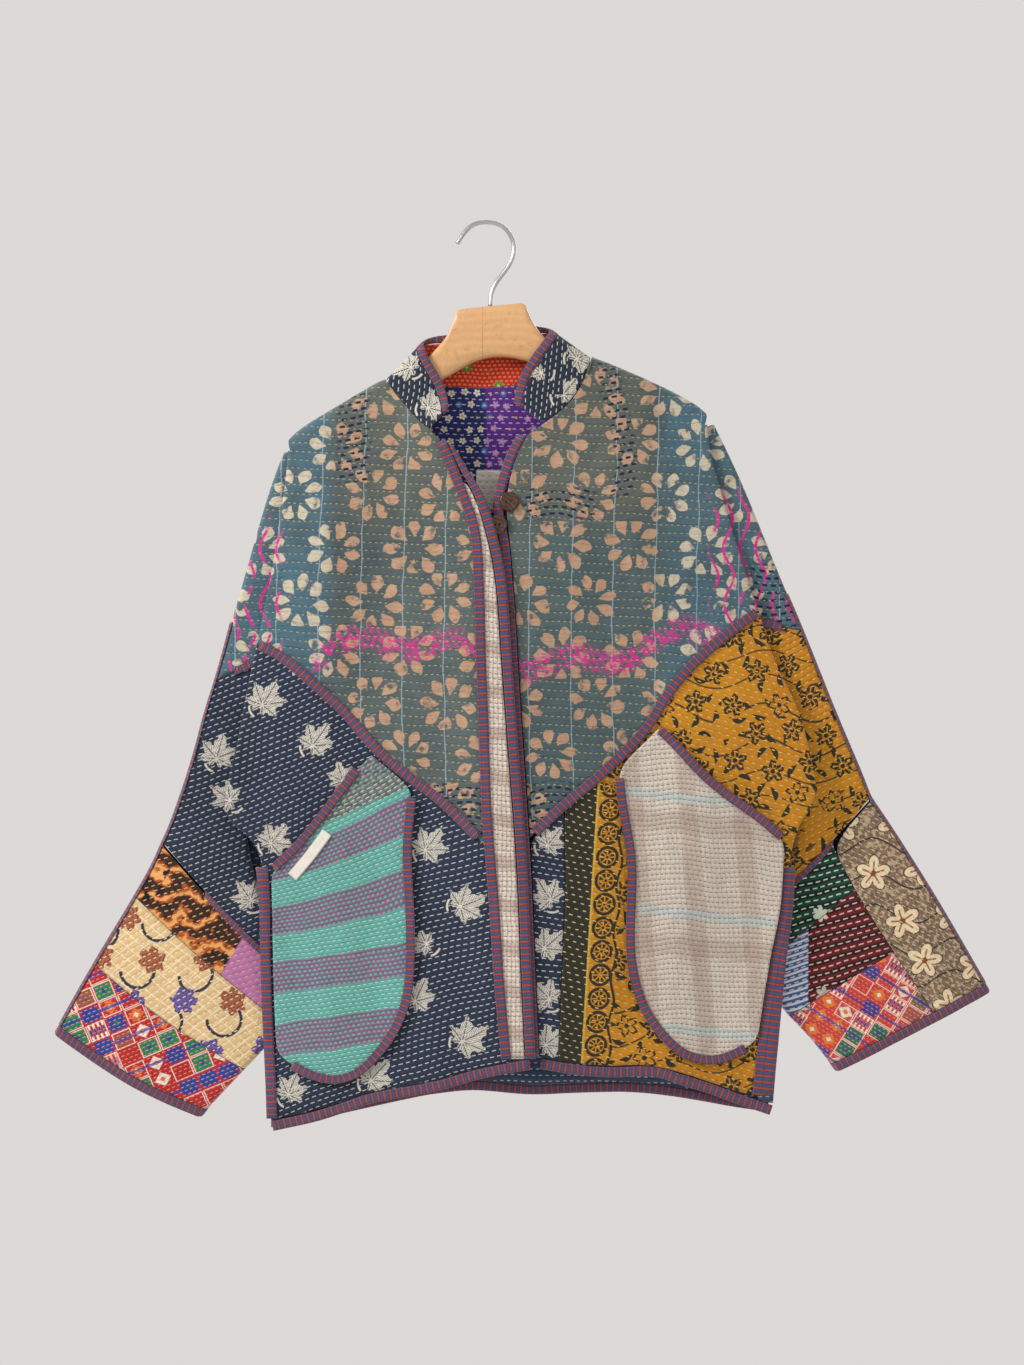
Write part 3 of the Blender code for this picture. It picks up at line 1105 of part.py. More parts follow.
def main():
    """Build the whole part."""
    for old in list(bpy.data.objects):
        bpy.data.objects.remove(old)
    hanger()
    yokes()
    lower_fronts()
    points, lead = back_panel()
    back_hem(points, lead)
    collar()
    placket()
    seam_tapes()
    pockets()
    sleeve("l", (UPPER_L, MIDDLE_L, CUFF_L), -1, CUFF_BANDS_L)
    sleeve("r", (UPPER_R, MIDDLE_R, CUFF_R), 1, CUFF_BANDS_R)
    buttons()


main()
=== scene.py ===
"""Looks of the patchwork jacket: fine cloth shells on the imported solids, printed cloth and studio light."""
import math

import bmesh
import bpy
import numpy as np
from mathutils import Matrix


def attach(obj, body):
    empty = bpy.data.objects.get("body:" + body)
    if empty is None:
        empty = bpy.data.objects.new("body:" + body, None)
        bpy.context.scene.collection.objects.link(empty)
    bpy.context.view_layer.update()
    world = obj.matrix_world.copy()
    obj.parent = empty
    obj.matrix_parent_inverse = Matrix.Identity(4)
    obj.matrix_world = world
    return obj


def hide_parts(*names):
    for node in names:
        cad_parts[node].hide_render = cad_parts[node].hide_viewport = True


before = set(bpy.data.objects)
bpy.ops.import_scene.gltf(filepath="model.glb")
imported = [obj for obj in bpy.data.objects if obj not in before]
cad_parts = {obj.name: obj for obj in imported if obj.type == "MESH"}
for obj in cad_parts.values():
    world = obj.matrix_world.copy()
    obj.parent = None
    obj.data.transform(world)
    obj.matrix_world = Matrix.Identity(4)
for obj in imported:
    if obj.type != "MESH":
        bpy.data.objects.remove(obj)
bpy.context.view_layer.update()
scene = bpy.context.scene
scene.view_settings.view_transform = "Standard"
# Millimetres in a metre, and a millimetre in metres
MILLIMETRES = 1000.0
MILLIMETRE = 0.001
# A full turn in radians, rounded, by which motifs are turned at random
TURN = 6.283


class Value:
    """A number in a material's nodes that takes ordinary arithmetic."""

    def __init__(self, tree, socket):
        self.tree = tree
        self.socket = socket

    def math(self, operation, *others):
        node = self.tree.nodes.new("ShaderNodeMath")
        node.operation = operation
        for slot, item in zip(node.inputs, (self, *others)):
            if isinstance(item, Value):
                self.tree.links.new(item.socket, slot)
            else:
                slot.default_value = item
        return Value(self.tree, node.outputs[0])

    def __add__(self, other):
        return self.math("ADD", other)

    def __radd__(self, other):
        return self.math("ADD", other)

    def __sub__(self, other):
        return self.math("SUBTRACT", other)

    def __rsub__(self, other):
        return (self * -1.0).math("ADD", other)

    def __mul__(self, other):
        return self.math("MULTIPLY", other)

    def __rmul__(self, other):
        return self.math("MULTIPLY", other)

    def __truediv__(self, other):
        return self.math("DIVIDE", other)

    def sin(self):
        return self.math("SINE")

    def abs(self):
        return self.math("ABSOLUTE")

    def floor(self):
        return self.math("FLOOR")

    def fract(self):
        return self.math("FRACT")

    def off(self, period):
        """Distance to the nearest multiple of the period."""
        return self.math("PINGPONG", period / 2)

    def cell(self, period):
        """Number of the nearest multiple of the period."""
        return (self / period + 0.5).floor()

    def signed(self, period):
        """Signed distance to the nearest multiple of the period."""
        return self - self.cell(period) * period

    def below(self, edge, soft=0.5):
        """1 where this is below the edge, with a soft border."""
        node = (edge - self) / soft + 0.5
        node.socket.node.use_clamp = True
        return node

    def above(self, edge, soft=0.5):
        return 1.0 - self.below(edge, soft)

    def between(self, low, high, soft=0.5):
        return self.above(low, soft) * self.below(high, soft)

    def power(self, exponent):
        return self.math("POWER", exponent)


def linear(colour):
    """Turn 0 to 255 screen colours into linear ones."""
    parts = [part / 255 for part in colour]
    return (*(part / 12.92 if part <= 0.04045 else ((part + 0.055) / 1.055) ** 2.4 for part in parts), 1.0)


class Cloth:
    """A printed and stitched cloth, painted layer by layer in millimetres across its face."""

    def __init__(self, name, colour, rough=0.88, sheen=0.25, weave=1.0):
        self.made = bpy.data.materials.new(name)
        self.made.use_nodes = True
        self.tree = self.made.node_tree
        self.shader = self.tree.nodes["Principled BSDF"]
        self.shader.inputs["Roughness"].default_value = rough
        self.shader.inputs["Sheen Weight"].default_value = sheen
        self.shader.inputs["Sheen Roughness"].default_value = 0.5
        self.shader.inputs["Specular IOR Level"].default_value = 0.25
        self.place = self.tree.nodes.new("ShaderNodeTexCoord").outputs["Object"]
        parts = self.tree.nodes.new("ShaderNodeSeparateXYZ")
        self.tree.links.new(self.place, parts.inputs[0])
        self.true_x = Value(self.tree, parts.outputs[0]) * MILLIMETRES
        self.true_z = Value(self.tree, parts.outputs[2]) * MILLIMETRES
        self.x = self.true_x + (self.noise(28, 1.0) - 0.5) * 5.0
        self.z = self.true_z + (self.noise(23, 1.0, 7.0) - 0.5) * 5.0
        threads = (self.true_x * 7.2).sin() * (self.true_z * 7.2).sin() * 0.05 * weave
        grain = (self.noise(900, 3.0) - 0.5) * 0.25 * weave
        ripples = (self.noise(120, 3.0) - 0.5) * 1.2
        swells = (self.noise(52, 3.0, 5.5) - 0.5) * 3.2 * weave
        self.height = threads + grain + ripples + swells
        self.colour = None
        self.paint(1.0, colour)

    def noise(self, scale, detail=2.0, shift=0.0):
        """Give smooth noise from 0 to 1 over the cloth's place."""
        node = self.tree.nodes.new("ShaderNodeTexNoise")
        node.inputs["Scale"].default_value = scale
        node.inputs["Detail"].default_value = detail
        if shift:
            move = self.tree.nodes.new("ShaderNodeVectorMath")
            move.operation = "ADD"
            move.inputs[1].default_value = (shift, shift * 0.37, shift * 1.7)
            self.tree.links.new(self.place, move.inputs[0])
            self.tree.links.new(move.outputs[0], node.inputs["Vector"])
        else:
            self.tree.links.new(self.place, node.inputs["Vector"])
        return Value(self.tree, node.outputs[0])

    def attribute(self, name):
        """Give a number that is stored on the mesh."""
        node = self.tree.nodes.new("ShaderNodeAttribute")
        node.attribute_name = name
        return Value(self.tree, node.outputs["Fac"])

    def paint(self, mask, colour):
        """Lay a colour over the rest where the mask is 1."""
        if self.colour is None:
            start = self.tree.nodes.new("ShaderNodeRGB")
            start.outputs[0].default_value = linear(colour)
            self.colour = start.outputs[0]
            return
        mix = self.tree.nodes.new("ShaderNodeMix")
        mix.data_type = "RGBA"
        self.tree.links.new(mask.socket, mix.inputs[0])
        self.tree.links.new(self.colour, mix.inputs[6])
        mix.inputs[7].default_value = linear(colour)
        self.colour = mix.outputs[2]

    def dashes(self, along, across, row, half, period, duty, colour, keep=None, lift=0.9):
        """Sew rows of running stitches, each row half a stitch and a random part of one further along."""
        number = across.cell(row)
        step = (along / period + number * 0.5 + (number * 12.9898).sin() * 0.35).fract() * period
        reach = duty * period / 2
        mask = across.off(row).below(half, 0.5) * (step - reach).abs().below(reach, 0.7)
        if keep is not None:
            mask = mask * keep
        self.paint(mask, colour)
        self.height = self.height + mask * lift - across.off(row).below(half * 2.6, 1.6) * 0.7

    def staggered(self, wide, tall, shift=(0.0, 0.0), jitter=0.0):
        """Give local coordinates and a random number for motifs in staggered rows."""
        x, z = self.x - shift[0], self.z - shift[1]
        row = z.cell(tall)
        x = x + row * (wide * 0.5)
        column = x.cell(wide)
        chance = ((row * 127.1 + column * 311.7).sin() * 43.7585).fract()
        local_x, local_z = x - column * wide, z - row * tall
        if jitter:
            local_x = local_x + (chance - 0.5) * jitter
            local_z = local_z + ((chance * 7.31).fract() - 0.5) * jitter
        return local_x, local_z, chance

    def polar(self, local_x, local_z, turn=0.0):
        """Give distance and direction from a motif's middle."""
        radius = (local_x * local_x + local_z * local_z).math("SQRT")
        angle = local_z.math("ARCTAN2", local_x) + turn
        return radius, angle

    def placed(self, spots, reach=30.0):
        """Give local coordinates, turn and size of the motif that is near, from a list of places."""
        nothing = self.x * 0.0
        found = [nothing + 500.0, nothing, nothing, nothing + 1.0]
        for east, up, turn, size in spots:
            side, rise = self.x - east, self.z - up
            near = side.abs().math("MAXIMUM", rise.abs()).math("LESS_THAN", reach)
            motif = (side, rise, nothing + turn, nothing + size)
            found = [old + (new - old) * near for old, new in zip(found, motif)]
        return found

    def leaf(self, local_x, local_z, turn, size, colour, vein):
        """Print a leaf of pointed lobes that fan out from a curled stem, with fine veins."""
        radius, spread = self.polar(local_x, local_z, 0.0)
        half = 3.14159
        angle = (spread - turn + half).math("FLOORED_MODULO", half * 2) - half
        lobe = angle.off(0.86)
        fan = (1.0 - angle.abs() / 3.5).power(0.75)
        edge = (1.1 - lobe * 1.05 + (radius * 1.1).sin() * 0.05 + (angle * 23.0).sin() * 0.03) * fan * size
        mask = radius.below(edge, 1.2)
        rib = (lobe * radius).below(0.5, 0.5) * radius.above(2.0)
        fine = (radius - lobe * radius * 1.5).off(2.9).below(0.42, 0.5) * radius.above(3.5, 1.5)
        curl = (radius - 9.0 - angle.abs() * 1.5).abs().below(1.0, 0.8)
        stem = curl * angle.above(2.2, 0.1) * radius.below(18, 1.0)
        self.paint(mask.math("MAXIMUM", stem), colour)
        self.paint(mask * rib.math("MAXIMUM", fine * 0.85), vein)

    def finished(self, wear=0.12, bump=0.35):
        """Add fading, cloth grain and bump, and give the material."""
        fade = (self.noise(9, 3.0, 3.0) - 0.5) * 2.0
        thread = (self.noise(1500, 2.0, 1.3) - 0.5) * 0.35 + (self.noise(260, 3.0, 2.1) - 0.5) * 0.3
        scale = 0.93 + fade * wear + thread * 0.55
        tone = self.tree.nodes.new("ShaderNodeVectorMath")
        tone.operation = "SCALE"
        self.tree.links.new(self.colour, tone.inputs[0])
        self.tree.links.new(scale.socket, tone.inputs[3])
        self.tree.links.new(tone.outputs[0], self.shader.inputs["Base Color"])
        node = self.tree.nodes.new("ShaderNodeBump")
        node.inputs["Strength"].default_value = bump
        node.inputs["Distance"].default_value = 0.001
        self.tree.links.new(self.height.socket, node.inputs["Height"])
        self.tree.links.new(node.outputs[0], self.shader.inputs["Normal"])
        return self.made


def yoke_cloth(name, printed=True):
    """Washed slate cloth with rings of petals, thin stripes, sparse embroidery and a magenta wave."""
    cloth = Cloth(name, (86, 98, 97))
    patch = cloth.noise(5, 2.0, 5.0)
    cloth.paint(patch.above(0.5, 0.25), (72, 84, 88))
    blue = (cloth.x.below(-158, 14) * cloth.z.above(-460, 30)).math("MAXIMUM", cloth.x.above(172, 16))
    low = cloth.z.below(-300, 60) * cloth.x.between(40, 190, 30) * 0.6
    cloth.paint(blue * (0.6 + cloth.noise(11, 2.0, 6.6).above(0.45, 0.2) * 0.4), (70, 102, 118))
    cloth.paint(low, (70, 92, 98))
    olive = cloth.z.above(-300, 40) * cloth.x.between(-150, 160, 40) * 0.6
    cloth.paint(olive, (94, 98, 88))
    cloth.paint(cloth.noise(34, 3.0, 1.7).above(0.55, 0.12) * 0.35, (66, 78, 84))
    line = (cloth.x + (cloth.z / 90.0).sin() * 3.0).off(42).below(0.5, 0.7)
    cloth.paint(line * 0.75, (146, 172, 188))
    if printed:
        local_x, local_z, chance = cloth.staggered(74, 52, shift=(-6, -14), jitter=11)
        radius, angle = cloth.polar(local_x, local_z, chance * 0.6)
        radius = radius * (chance * 0.16 + 0.93) + (cloth.noise(75, 3.0, 8.4) - 0.5) * 9.0
        arc = (angle + (cloth.noise(40, 2.0, 3.6) - 0.5) * 0.35).off(math.pi / 4) * radius
        swell = ((radius - 10.5) / 17.5).math("MAXIMUM", 0.0).math("MINIMUM", 1.0)
        width = (swell.power(1.5) * math.pi).sin().math("MAXIMUM", 0.0).power(0.8) * 5.4 + 0.3
        petal = arc.below(width, 0.9) * radius.between(11, 27.8, 1.0)
        worn = cloth.noise(90, 4.0, 4.0).above(0.4, 0.12)
        petal = petal * worn * chance.above(0.03, 0.02)
        cloth.paint(petal * 0.92, (186, 150, 124))
        cloth.paint(petal * cloth.noise(48, 2.0, 2.6).above(0.5, 0.2) * 0.6, (170, 130, 104))
        cloth.paint(petal * blue, (192, 184, 164))
        wave = cloth.z + 436 + (cloth.x / 17.0).sin() * 9.0
        wave = wave + (cloth.x / 47.0).sin() * 12.0 + cloth.x.abs() * -0.06
        near = wave.abs().below(13, 5) * cloth.x.between(-178, 232, 6)
        scribble = ((cloth.x * 0.8 + wave * 1.3).sin() * 2.4 + wave).off(7).below(0.95, 0.8)
        cloth.paint(near * scribble * cloth.noise(55, 2.0, 9.0).above(0.42, 0.08), (212, 34, 142))
        floss = near * wave.abs().below(9, 5) * cloth.noise(150, 2.0, 8.0).above(0.56, 0.04) * 0.9
        cloth.paint(floss, (196, 44, 136))
        right_edge = cloth.x.above(222, 8) * cloth.z.between(-440, -270, 20)
        left_edge = cloth.x.below(-208, 6) * cloth.z.between(-460, -300, 20)
        edge = right_edge.math("MAXIMUM", left_edge)
        sprig = ((cloth.z / 9.0).sin() * 5.0 + cloth.x).off(16).below(1.5, 1.0)
        cloth.paint(edge * sprig * cloth.noise(60, 2.0, 6.0).above(0.45, 0.08), (206, 40, 140))
        zones = (cloth.x + 136).abs().below(16, 6) * cloth.z.between(-262, -168, 8)
        trail = (cloth.x - 128 + (cloth.z / 30.0).sin() * 9.0).abs().below(11, 4) * cloth.z.above(-275, 8)
        chest = (cloth.x - 70).abs().below(36, 6) * (cloth.z + 281).abs().below(16, 5)
        point = cloth.z.below(-560, 8)
        sleeve = cloth.x.above(262, 6) * cloth.z.below(-340, 8)
        for zone in (trail, chest, point, sleeve):
            zones = zones.math("MAXIMUM", zone)
        rows = cloth.z + (cloth.x / 14.0).sin() * 3.5
        cloth.dashes(cloth.x + cloth.z * 0.2, rows, 7.2, 1.25, 9.0, 0.6, (22, 28, 66), zones)
    cloth.dashes(cloth.x, cloth.z + cloth.x * 0.06, 8.6, 0.42, 6.0, 0.42, (168, 160, 110), lift=0.4)
    return cloth.finished(wear=0.16, bump=0.7)


# Leaves of the print: middle in millimetres east and up, turn in radians, size in millimetres
FRONT_LEAVES = [(-227, -483, 1.0, 27), (-177, -523, 0.9, 25), (-274, -538, 1.3, 26), (-259, -578, 2.6, 22),
                (-219, -623, 0.9, 25), (-29, -683, 0.4, 27), (-64, -628, 0.9, 27), (-74, -778, 1.1, 25),
                (-27, -818, 0.5, 28), (-119, -858, 0.8, 26), (-183, -448, 0.4, 20), (-240, -680, 2.2, 22),
                (-62, -722, 2.9, 18), (-146, -560, 1.8, 20), (-200, -874, 1.2, 22)]
STRIP_LEAVES = [(58, -622, 0.9, 21), (62, -676, 2.2, 23), (56, -726, 0.8, 24), (60, -776, 2.3, 23),
                (58, -822, 0.7, 24)]
COLLAR_LEAVES = [(-79, -145, 2.6, 24), (-60, -186, 0.6, 22), (88, -136, 0.4, 24), (74, -172, 0.9, 20),
                 (-52, -224, 1.4, 16), (52, -150, 3.4, 12)]


def navy_cloth(name="navy_leaf", tilt=-0.35, leaves=FRONT_LEAVES, reach=27.0):
    """Navy cloth with large leaves and white running stitches."""
    cloth = Cloth(name, (30, 40, 60))
    cloth.paint(cloth.noise(16, 2.0, 2.0).above(0.5, 0.2) * 0.5, (38, 50, 74))
    across = cloth.z + cloth.x * tilt + (cloth.x / 60.0).sin() * 5.0
    cloth.leaf(*cloth.placed(leaves, reach), (208, 202, 188), (58, 62, 76))
    cloth.dashes(cloth.x - cloth.z * tilt, across, 6.0, 0.42, 7.6, 0.58, (208, 212, 214))
    return cloth.finished(wear=0.1, bump=0.75)


def pocket_teal():
    """Teal and mauve bands rising to the right, all over stitched."""
    cloth = Cloth("pocket_teal", (92, 164, 154))
    slope = cloth.z - cloth.x * 0.15 - (cloth.x + 150) * 0.42 * cloth.true_z.above(-640, 190)
    band = (slope + 12).math("PINGPONG", 31.0).above(15.0, 2.0)
    cloth.paint(band, (120, 98, 122))
    corner = (cloth.z - cloth.x * 0.45).above(-528, 3)
    cloth.paint(corner * 0.92, (104, 100, 100))
    cloth.paint(corner * cloth.x.off(9).below(1.0, 1.0) * 0.6, (150, 138, 130))
    cloth.paint(corner * cloth.z.off(11).below(1.0, 1.0) * 0.6, (70, 64, 70))
    dots = (cloth.x + slope.cell(4.4) * 2.5).off(5.0).below(1.25, 0.8) * slope.off(4.4).below(0.95, 0.7)
    cloth.paint(dots * band, (98, 172, 170))
    other = (cloth.x + 2.5 + slope.cell(8.8) * 5.0).off(10.0).below(1.3, 0.8) * slope.off(8.8).below(1.0, 0.7)
    cloth.paint(other * band * cloth.noise(40, 1.0, 2.0).above(0.5, 0.1), (186, 66, 128))
    cloth.dashes(cloth.x, slope, 4.4, 0.55, 6.2, 0.6, (176, 214, 204), 1.0 - band)
    return cloth.finished(wear=0.08, bump=0.8)


def cream_plaid(name, upright=True):
    """Cream plaid with brown lines, pale aqua stripes and wavy dark stitch rows."""
    cloth = Cloth(name, (208, 198, 186) if upright else (224, 214, 202))
    if upright:
        lean = cloth.x + cloth.z * 0.08
        cloth.paint((lean - 206).math("PINGPONG", 27.0).below(9, 4) * 0.32, (150, 118, 104))
        brown = (cloth.z + 705 + cloth.x * 0.1).math("PINGPONG", 62.0).below(10, 5)
        cloth.paint(brown * 0.3, (152, 124, 112))
        aqua = (cloth.z + 668 + cloth.x * 0.12).math("PINGPONG", 58.0).below(4.5, 2.5)
        cloth.paint(aqua * 0.6, (176, 200, 200))
        cloth.paint(lean.off(4.6).below(0.4, 0.5) * 0.35, (140, 112, 100))
    else:
        bar = (cloth.z + 300 + cloth.x * 0.2).math("PINGPONG", 21.0).below(6.5, 3)
        cloth.paint(bar * 0.45, (160, 132, 118))
        cloth.paint(cloth.x.off(4.4).below(0.7, 0.6) * 0.5, (148, 120, 106))
        cloth.paint(cloth.z.off(3.3).below(0.5, 0.5) * 0.35, (150, 124, 110))
    rows = cloth.z + (cloth.x / 11.0).sin() * 1.4 + (cloth.x / 37.0).sin() * 3.0
    cloth.dashes(cloth.x, rows, 5.0, 0.42, 5.0, 0.66, (136, 116, 106), lift=0.5)
    return cloth.finished(wear=0.06, bump=0.9)


def mustard_print(name="mustard_print", tilt=0.3, medallions=True):
    """Mustard cloth with dark sprigs and cream stitches, and on the front a chain of medallions."""
    cloth = Cloth(name, (196, 132, 16))
    cloth.paint(cloth.noise(12, 2.0, 3.0).above(0.5, 0.3) * 0.5, (180, 112, 12))
    dark_ink = (44, 40, 22)
    local_x, local_z, chance = cloth.staggered(38, 32, jitter=12)
    radius, angle = cloth.polar(local_x, local_z, chance * TURN)
    petals = (angle * 2.5).math("COSINE").abs() * 6.0 + 4.6 + (angle * 15.0).sin() * 0.6
    outline = (radius - petals).abs().below(1.3, 0.8).math("MAXIMUM", radius.below(2.4, 0.6))
    rays = (angle.off(math.pi / 5) * radius).above(0.7, 0.5) * radius.between(3.6, 8.6, 0.8)
    solid = radius.below(petals, 0.9) * chance.above(0.3, 0.02) * rays
    cloth.paint(outline.math("MAXIMUM", solid) * chance.above(0.08, 0.02), dark_ink)
    leaf_x, leaf_z, luck = cloth.staggered(20, 18, shift=(9, 7), jitter=8)
    turned = leaf_x * (luck * TURN).math("COSINE") + leaf_z * (luck * TURN).sin()
    across = leaf_z * (luck * TURN).math("COSINE") - leaf_x * (luck * TURN).sin() + turned * turned * 0.04
    sprig = across.abs().below(2.7 - turned * turned * 0.045, 0.8) * turned.abs().below(8.0, 0.8)
    away = radius.above(11.5, 1.0)
    cloth.paint(sprig * luck.above(0.12, 0.02) * away, dark_ink)
    stem = ((cloth.x / 16.0).sin() * 8.0 + (cloth.z / 23.0).sin() * 5.0 + cloth.z).off(29).below(0.9, 0.6)
    cloth.paint(stem * 0.9 * away, dark_ink)
    if medallions:
        lean = cloth.true_x - (cloth.true_z + 700) * 0.06
        strip = lean.below(127, 1.5) * cloth.true_z.below(-560, 4)
        cloth.paint(strip, (192, 130, 20))
        cloth.paint(lean.below(101, 1.0) * cloth.true_z.below(-560, 4), (42, 42, 30))
        cloth.paint((lean - 101).abs().below(1.0, 0.7) * strip, (200, 164, 56))
        ring_x = lean - 114.0
        ring_z = cloth.true_z.signed(23.5)
        ring, turn = cloth.polar(ring_x, ring_z)
        spokes = ring.between(2.4, 7.2, 0.8) * (turn.off(math.pi / 4) * ring).above(0.75, 0.6)
        rim = (ring - 9.8).abs().below(1.6, 0.8)
        dark = rim.math("MAXIMUM", spokes).math("MAXIMUM", ring.below(1.4, 0.6))
        cloth.paint(dark * strip * lean.above(102.5, 1.0), dark_ink)
        scallop = (lean - 127 - (cloth.true_z / 7.4).sin() * 2.2).abs().below(1.3, 0.8)
        cloth.paint(scallop * cloth.true_z.below(-585, 4), dark_ink)
    cloth.dashes(cloth.x - cloth.z * tilt, cloth.z + cloth.x * tilt, 6.6, 0.5, 8.4, 0.42, (226, 200, 140))
    return cloth.finished(wear=0.08, bump=0.8)


def batik():
    """Brown, black and orange flame cloth."""
    cloth = Cloth("batik", (52, 26, 16))
    flame = ((cloth.x / 6.0).sin() * 4.0 + cloth.z + (cloth.noise(60, 3.0) - 0.5) * 46.0).off(26)
    cloth.paint(flame.below(6.5, 3), (176, 84, 30))
    cloth.paint(flame.below(3.0, 2), (222, 160, 92))
    cloth.paint(cloth.noise(85, 2.0, 3.0).above(0.62, 0.05), (20, 14, 14))
    cloth.paint((cloth.true_x + 262 - (cloth.true_z + 740) * 0.6).above(0, 3), (180, 112, 164))
    cloth.dashes(cloth.x, cloth.z - cloth.x * 0.3, 6.0, 0.5, 7.0, 0.5, (214, 176, 120))
    return cloth.finished(bump=0.5)


def lattice():
    """Beige cloth with a diamond lattice and loose purple and rust blooms."""
    cloth = Cloth("lattice", (214, 182, 132))
    first, second = cloth.x + cloth.z * 1.25, cloth.x - cloth.z * 1.25
    net = first.off(17).below(0.75, 0.8).math("MAXIMUM", second.off(17).below(0.75, 0.8))
    cloth.paint(net * 0.85, (238, 224, 188))
    stem_x, stem_z, _ = cloth.staggered(62, 48, shift=(-18, -30), jitter=10)
    stem_r, stem_a = cloth.polar(stem_x, stem_z + 6)
    cloth.paint((stem_r - 17).abs().below(1.6, 0.9) * stem_a.below(0.6, 0.1), (44, 48, 62))
    local_x, local_z, chance = cloth.staggered(54, 44, shift=(14, 6), jitter=10)
    radius, angle = cloth.polar(local_x, local_z, chance * TURN)
    bloom = (angle * 3.0).sin().abs() * 4.6 + 9.4 + (angle * 11.0).sin() * 0.9
    mask = radius.below(bloom, 1.0)
    cloth.paint(mask, (106, 86, 156))
    cloth.paint(mask * chance.above(0.5, 0.02), (170, 96, 50))
    veins = (radius + (angle * 6.0).sin() * 1.6).off(4.4).below(0.55, 0.6) * mask
    cloth.paint(veins * 0.8, (52, 42, 70))
    cloth.dashes(cloth.x + cloth.z * 0.5, cloth.z - cloth.x * 0.55, 7.0, 0.5, 7.0, 0.5, (244, 234, 210))
    return cloth.finished(bump=0.5)


def blocks(name, base, tones, slant):
    """Bright cloth with a band of small squares, triangles and stripes."""
    cloth = Cloth(name, base)
    u = cloth.true_x + cloth.true_z * slant
    v = cloth.true_z - cloth.true_x * slant
    step_u, step_v = u.cell(23.0), v.cell(19.0)
    chance = ((step_u * 127.1 + step_v * 311.7).sin() * 43.7585).fract()
    du, dv = u.off(23.0), v.off(19.0)
    box = (du * 0.83).math("MAXIMUM", dv)
    diamond = du + dv * 1.2
    stripes = u.off(5.2).below(1.2, 0.6)
    for k, tone in enumerate(tones):
        pick = chance.between(k * 0.75 / len(tones), (k * 0.75 + 0.55) / len(tones), 0.01)
        cloth.paint(pick * (diamond.below(9.5, 0.8) if k % 2 else box.below(7.8, 0.8)), tone)
        cloth.paint(pick * diamond.below(3.6, 0.8), tones[(k + 2) % len(tones)])
    cloth.paint(chance.above(0.8, 0.02) * stripes, (236, 222, 206))
    cloth.paint(chance.above(0.8, 0.02) * stripes * dv.below(4.0, 1.0), tones[0])
    cloth.paint((box - 8.6).abs().below(0.5, 0.5) * chance.above(0.35, 0.02) * 0.8, (236, 226, 214))
    cloth.paint((v.off(38.0) - 18.4).abs().below(1.1, 0.6) * 0.85, tones[0])
    cloth.dashes(u, v, 4.4, 0.42, 6.0, 0.55, (232, 150, 120))
    return cloth.finished(bump=0.55)


def striped(name, base, stripe, stitch, slant, gap=12.4):
    """Dark cloth with fine stripes and pale stitches along them."""
    cloth = Cloth(name, base)
    v = cloth.z + cloth.x * slant
    cloth.paint(v.off(gap).below(2.6, 0.8), stripe)
    cloth.paint((v + gap / 2).off(gap * 3).below(0.9, 0.8), (24, 20, 22))
    local_x, local_z, chance = cloth.staggered(52, 46, jitter=14)
    radius, angle = cloth.polar(local_x, local_z)
    if name == "maroon_stripe":
        corner = cloth.true_x.below(322, 1) * cloth.true_z.below(-704, 1)
        cloth.paint(corner, (58, 92, 150))
        cloth.paint(corner * v.off(6).below(1.1, 0.6), (206, 214, 224))
    star = radius.below((angle * 3.0).sin().abs() * 4.0 + 4.5, 0.8) * chance.above(0.55, 0.02)
    cloth.paint(star, (206, 212, 190))
    cloth.dashes(cloth.x, v, gap / 2, 0.62, 8.0, 0.6, stitch)
    return cloth.finished(bump=0.55)


def floral():
    """Beige and brown flecked cloth with cream flowers and dark tendrils."""
    cloth = Cloth("floral", (132, 108, 86))
    cloth.paint(cloth.noise(420, 2.0).above(0.52, 0.1) * 0.7, (92, 74, 60))
    cloth.paint(cloth.noise(240, 2.0, 3.0).above(0.56, 0.08) * 0.7, (196, 172, 140))
    local_x, local_z, chance = cloth.staggered(54, 46, shift=(8, -8), jitter=12)
    radius, angle = cloth.polar(local_x, local_z, chance * TURN)
    size = (angle * 2.5).math("COSINE").abs() * 10.5 + 7.0
    mask = radius.below(size, 1.0)
    cloth.paint((radius - size).abs().below(1.4, 0.8), (60, 48, 38))
    cloth.paint(mask, (226, 206, 170))
    ray = (angle.off(math.pi / 2.5) * radius).below(0.9, 0.7)
    cloth.paint(mask * ray * radius.below(12, 1), (150, 96, 50))
    cloth.paint(radius.below(3.0, 0.8), (120, 70, 30))
    stem = ((cloth.x / 13.0).sin() * 9.0 + cloth.z).off(33).below(1.0, 0.8) * (1.0 - mask)
    cloth.paint(stem, (56, 50, 44))
    cloth.dashes(cloth.x, cloth.z + cloth.x * 0.5, 5.6, 0.5, 6.5, 0.5, (206, 190, 160))
    return cloth.finished(bump=0.55)


def tape_cloth():
    """Woven tape with cross stripes that follow its length, ribbed, with a stitch line near each edge."""
    cloth = Cloth("tape_cloth", (74, 78, 116), rough=0.8)
    along, across = cloth.attribute("along"), cloth.attribute("across")
    stripe = (along + (cloth.noise(300, 1.0) - 0.5) * 0.9).math("PINGPONG", 3.1)
    cloth.paint(stripe.below(1.05, 0.6), (172, 70, 48))
    cloth.paint((stripe - 1.2).abs().below(0.3, 0.5) * 0.6, (40, 36, 60))
    stitch = (across.abs() - 3.4).abs().below(0.3, 0.4) * along.off(3.4).below(1.1, 0.4)
    cloth.paint(stitch * 0.7, (52, 40, 64))
    cloth.height = cloth.height + (along * 4.4).sin() * 0.35 + (across.abs().above(3.9, 0.8)) * -0.6
    return cloth.finished(wear=0.1, bump=0.6)


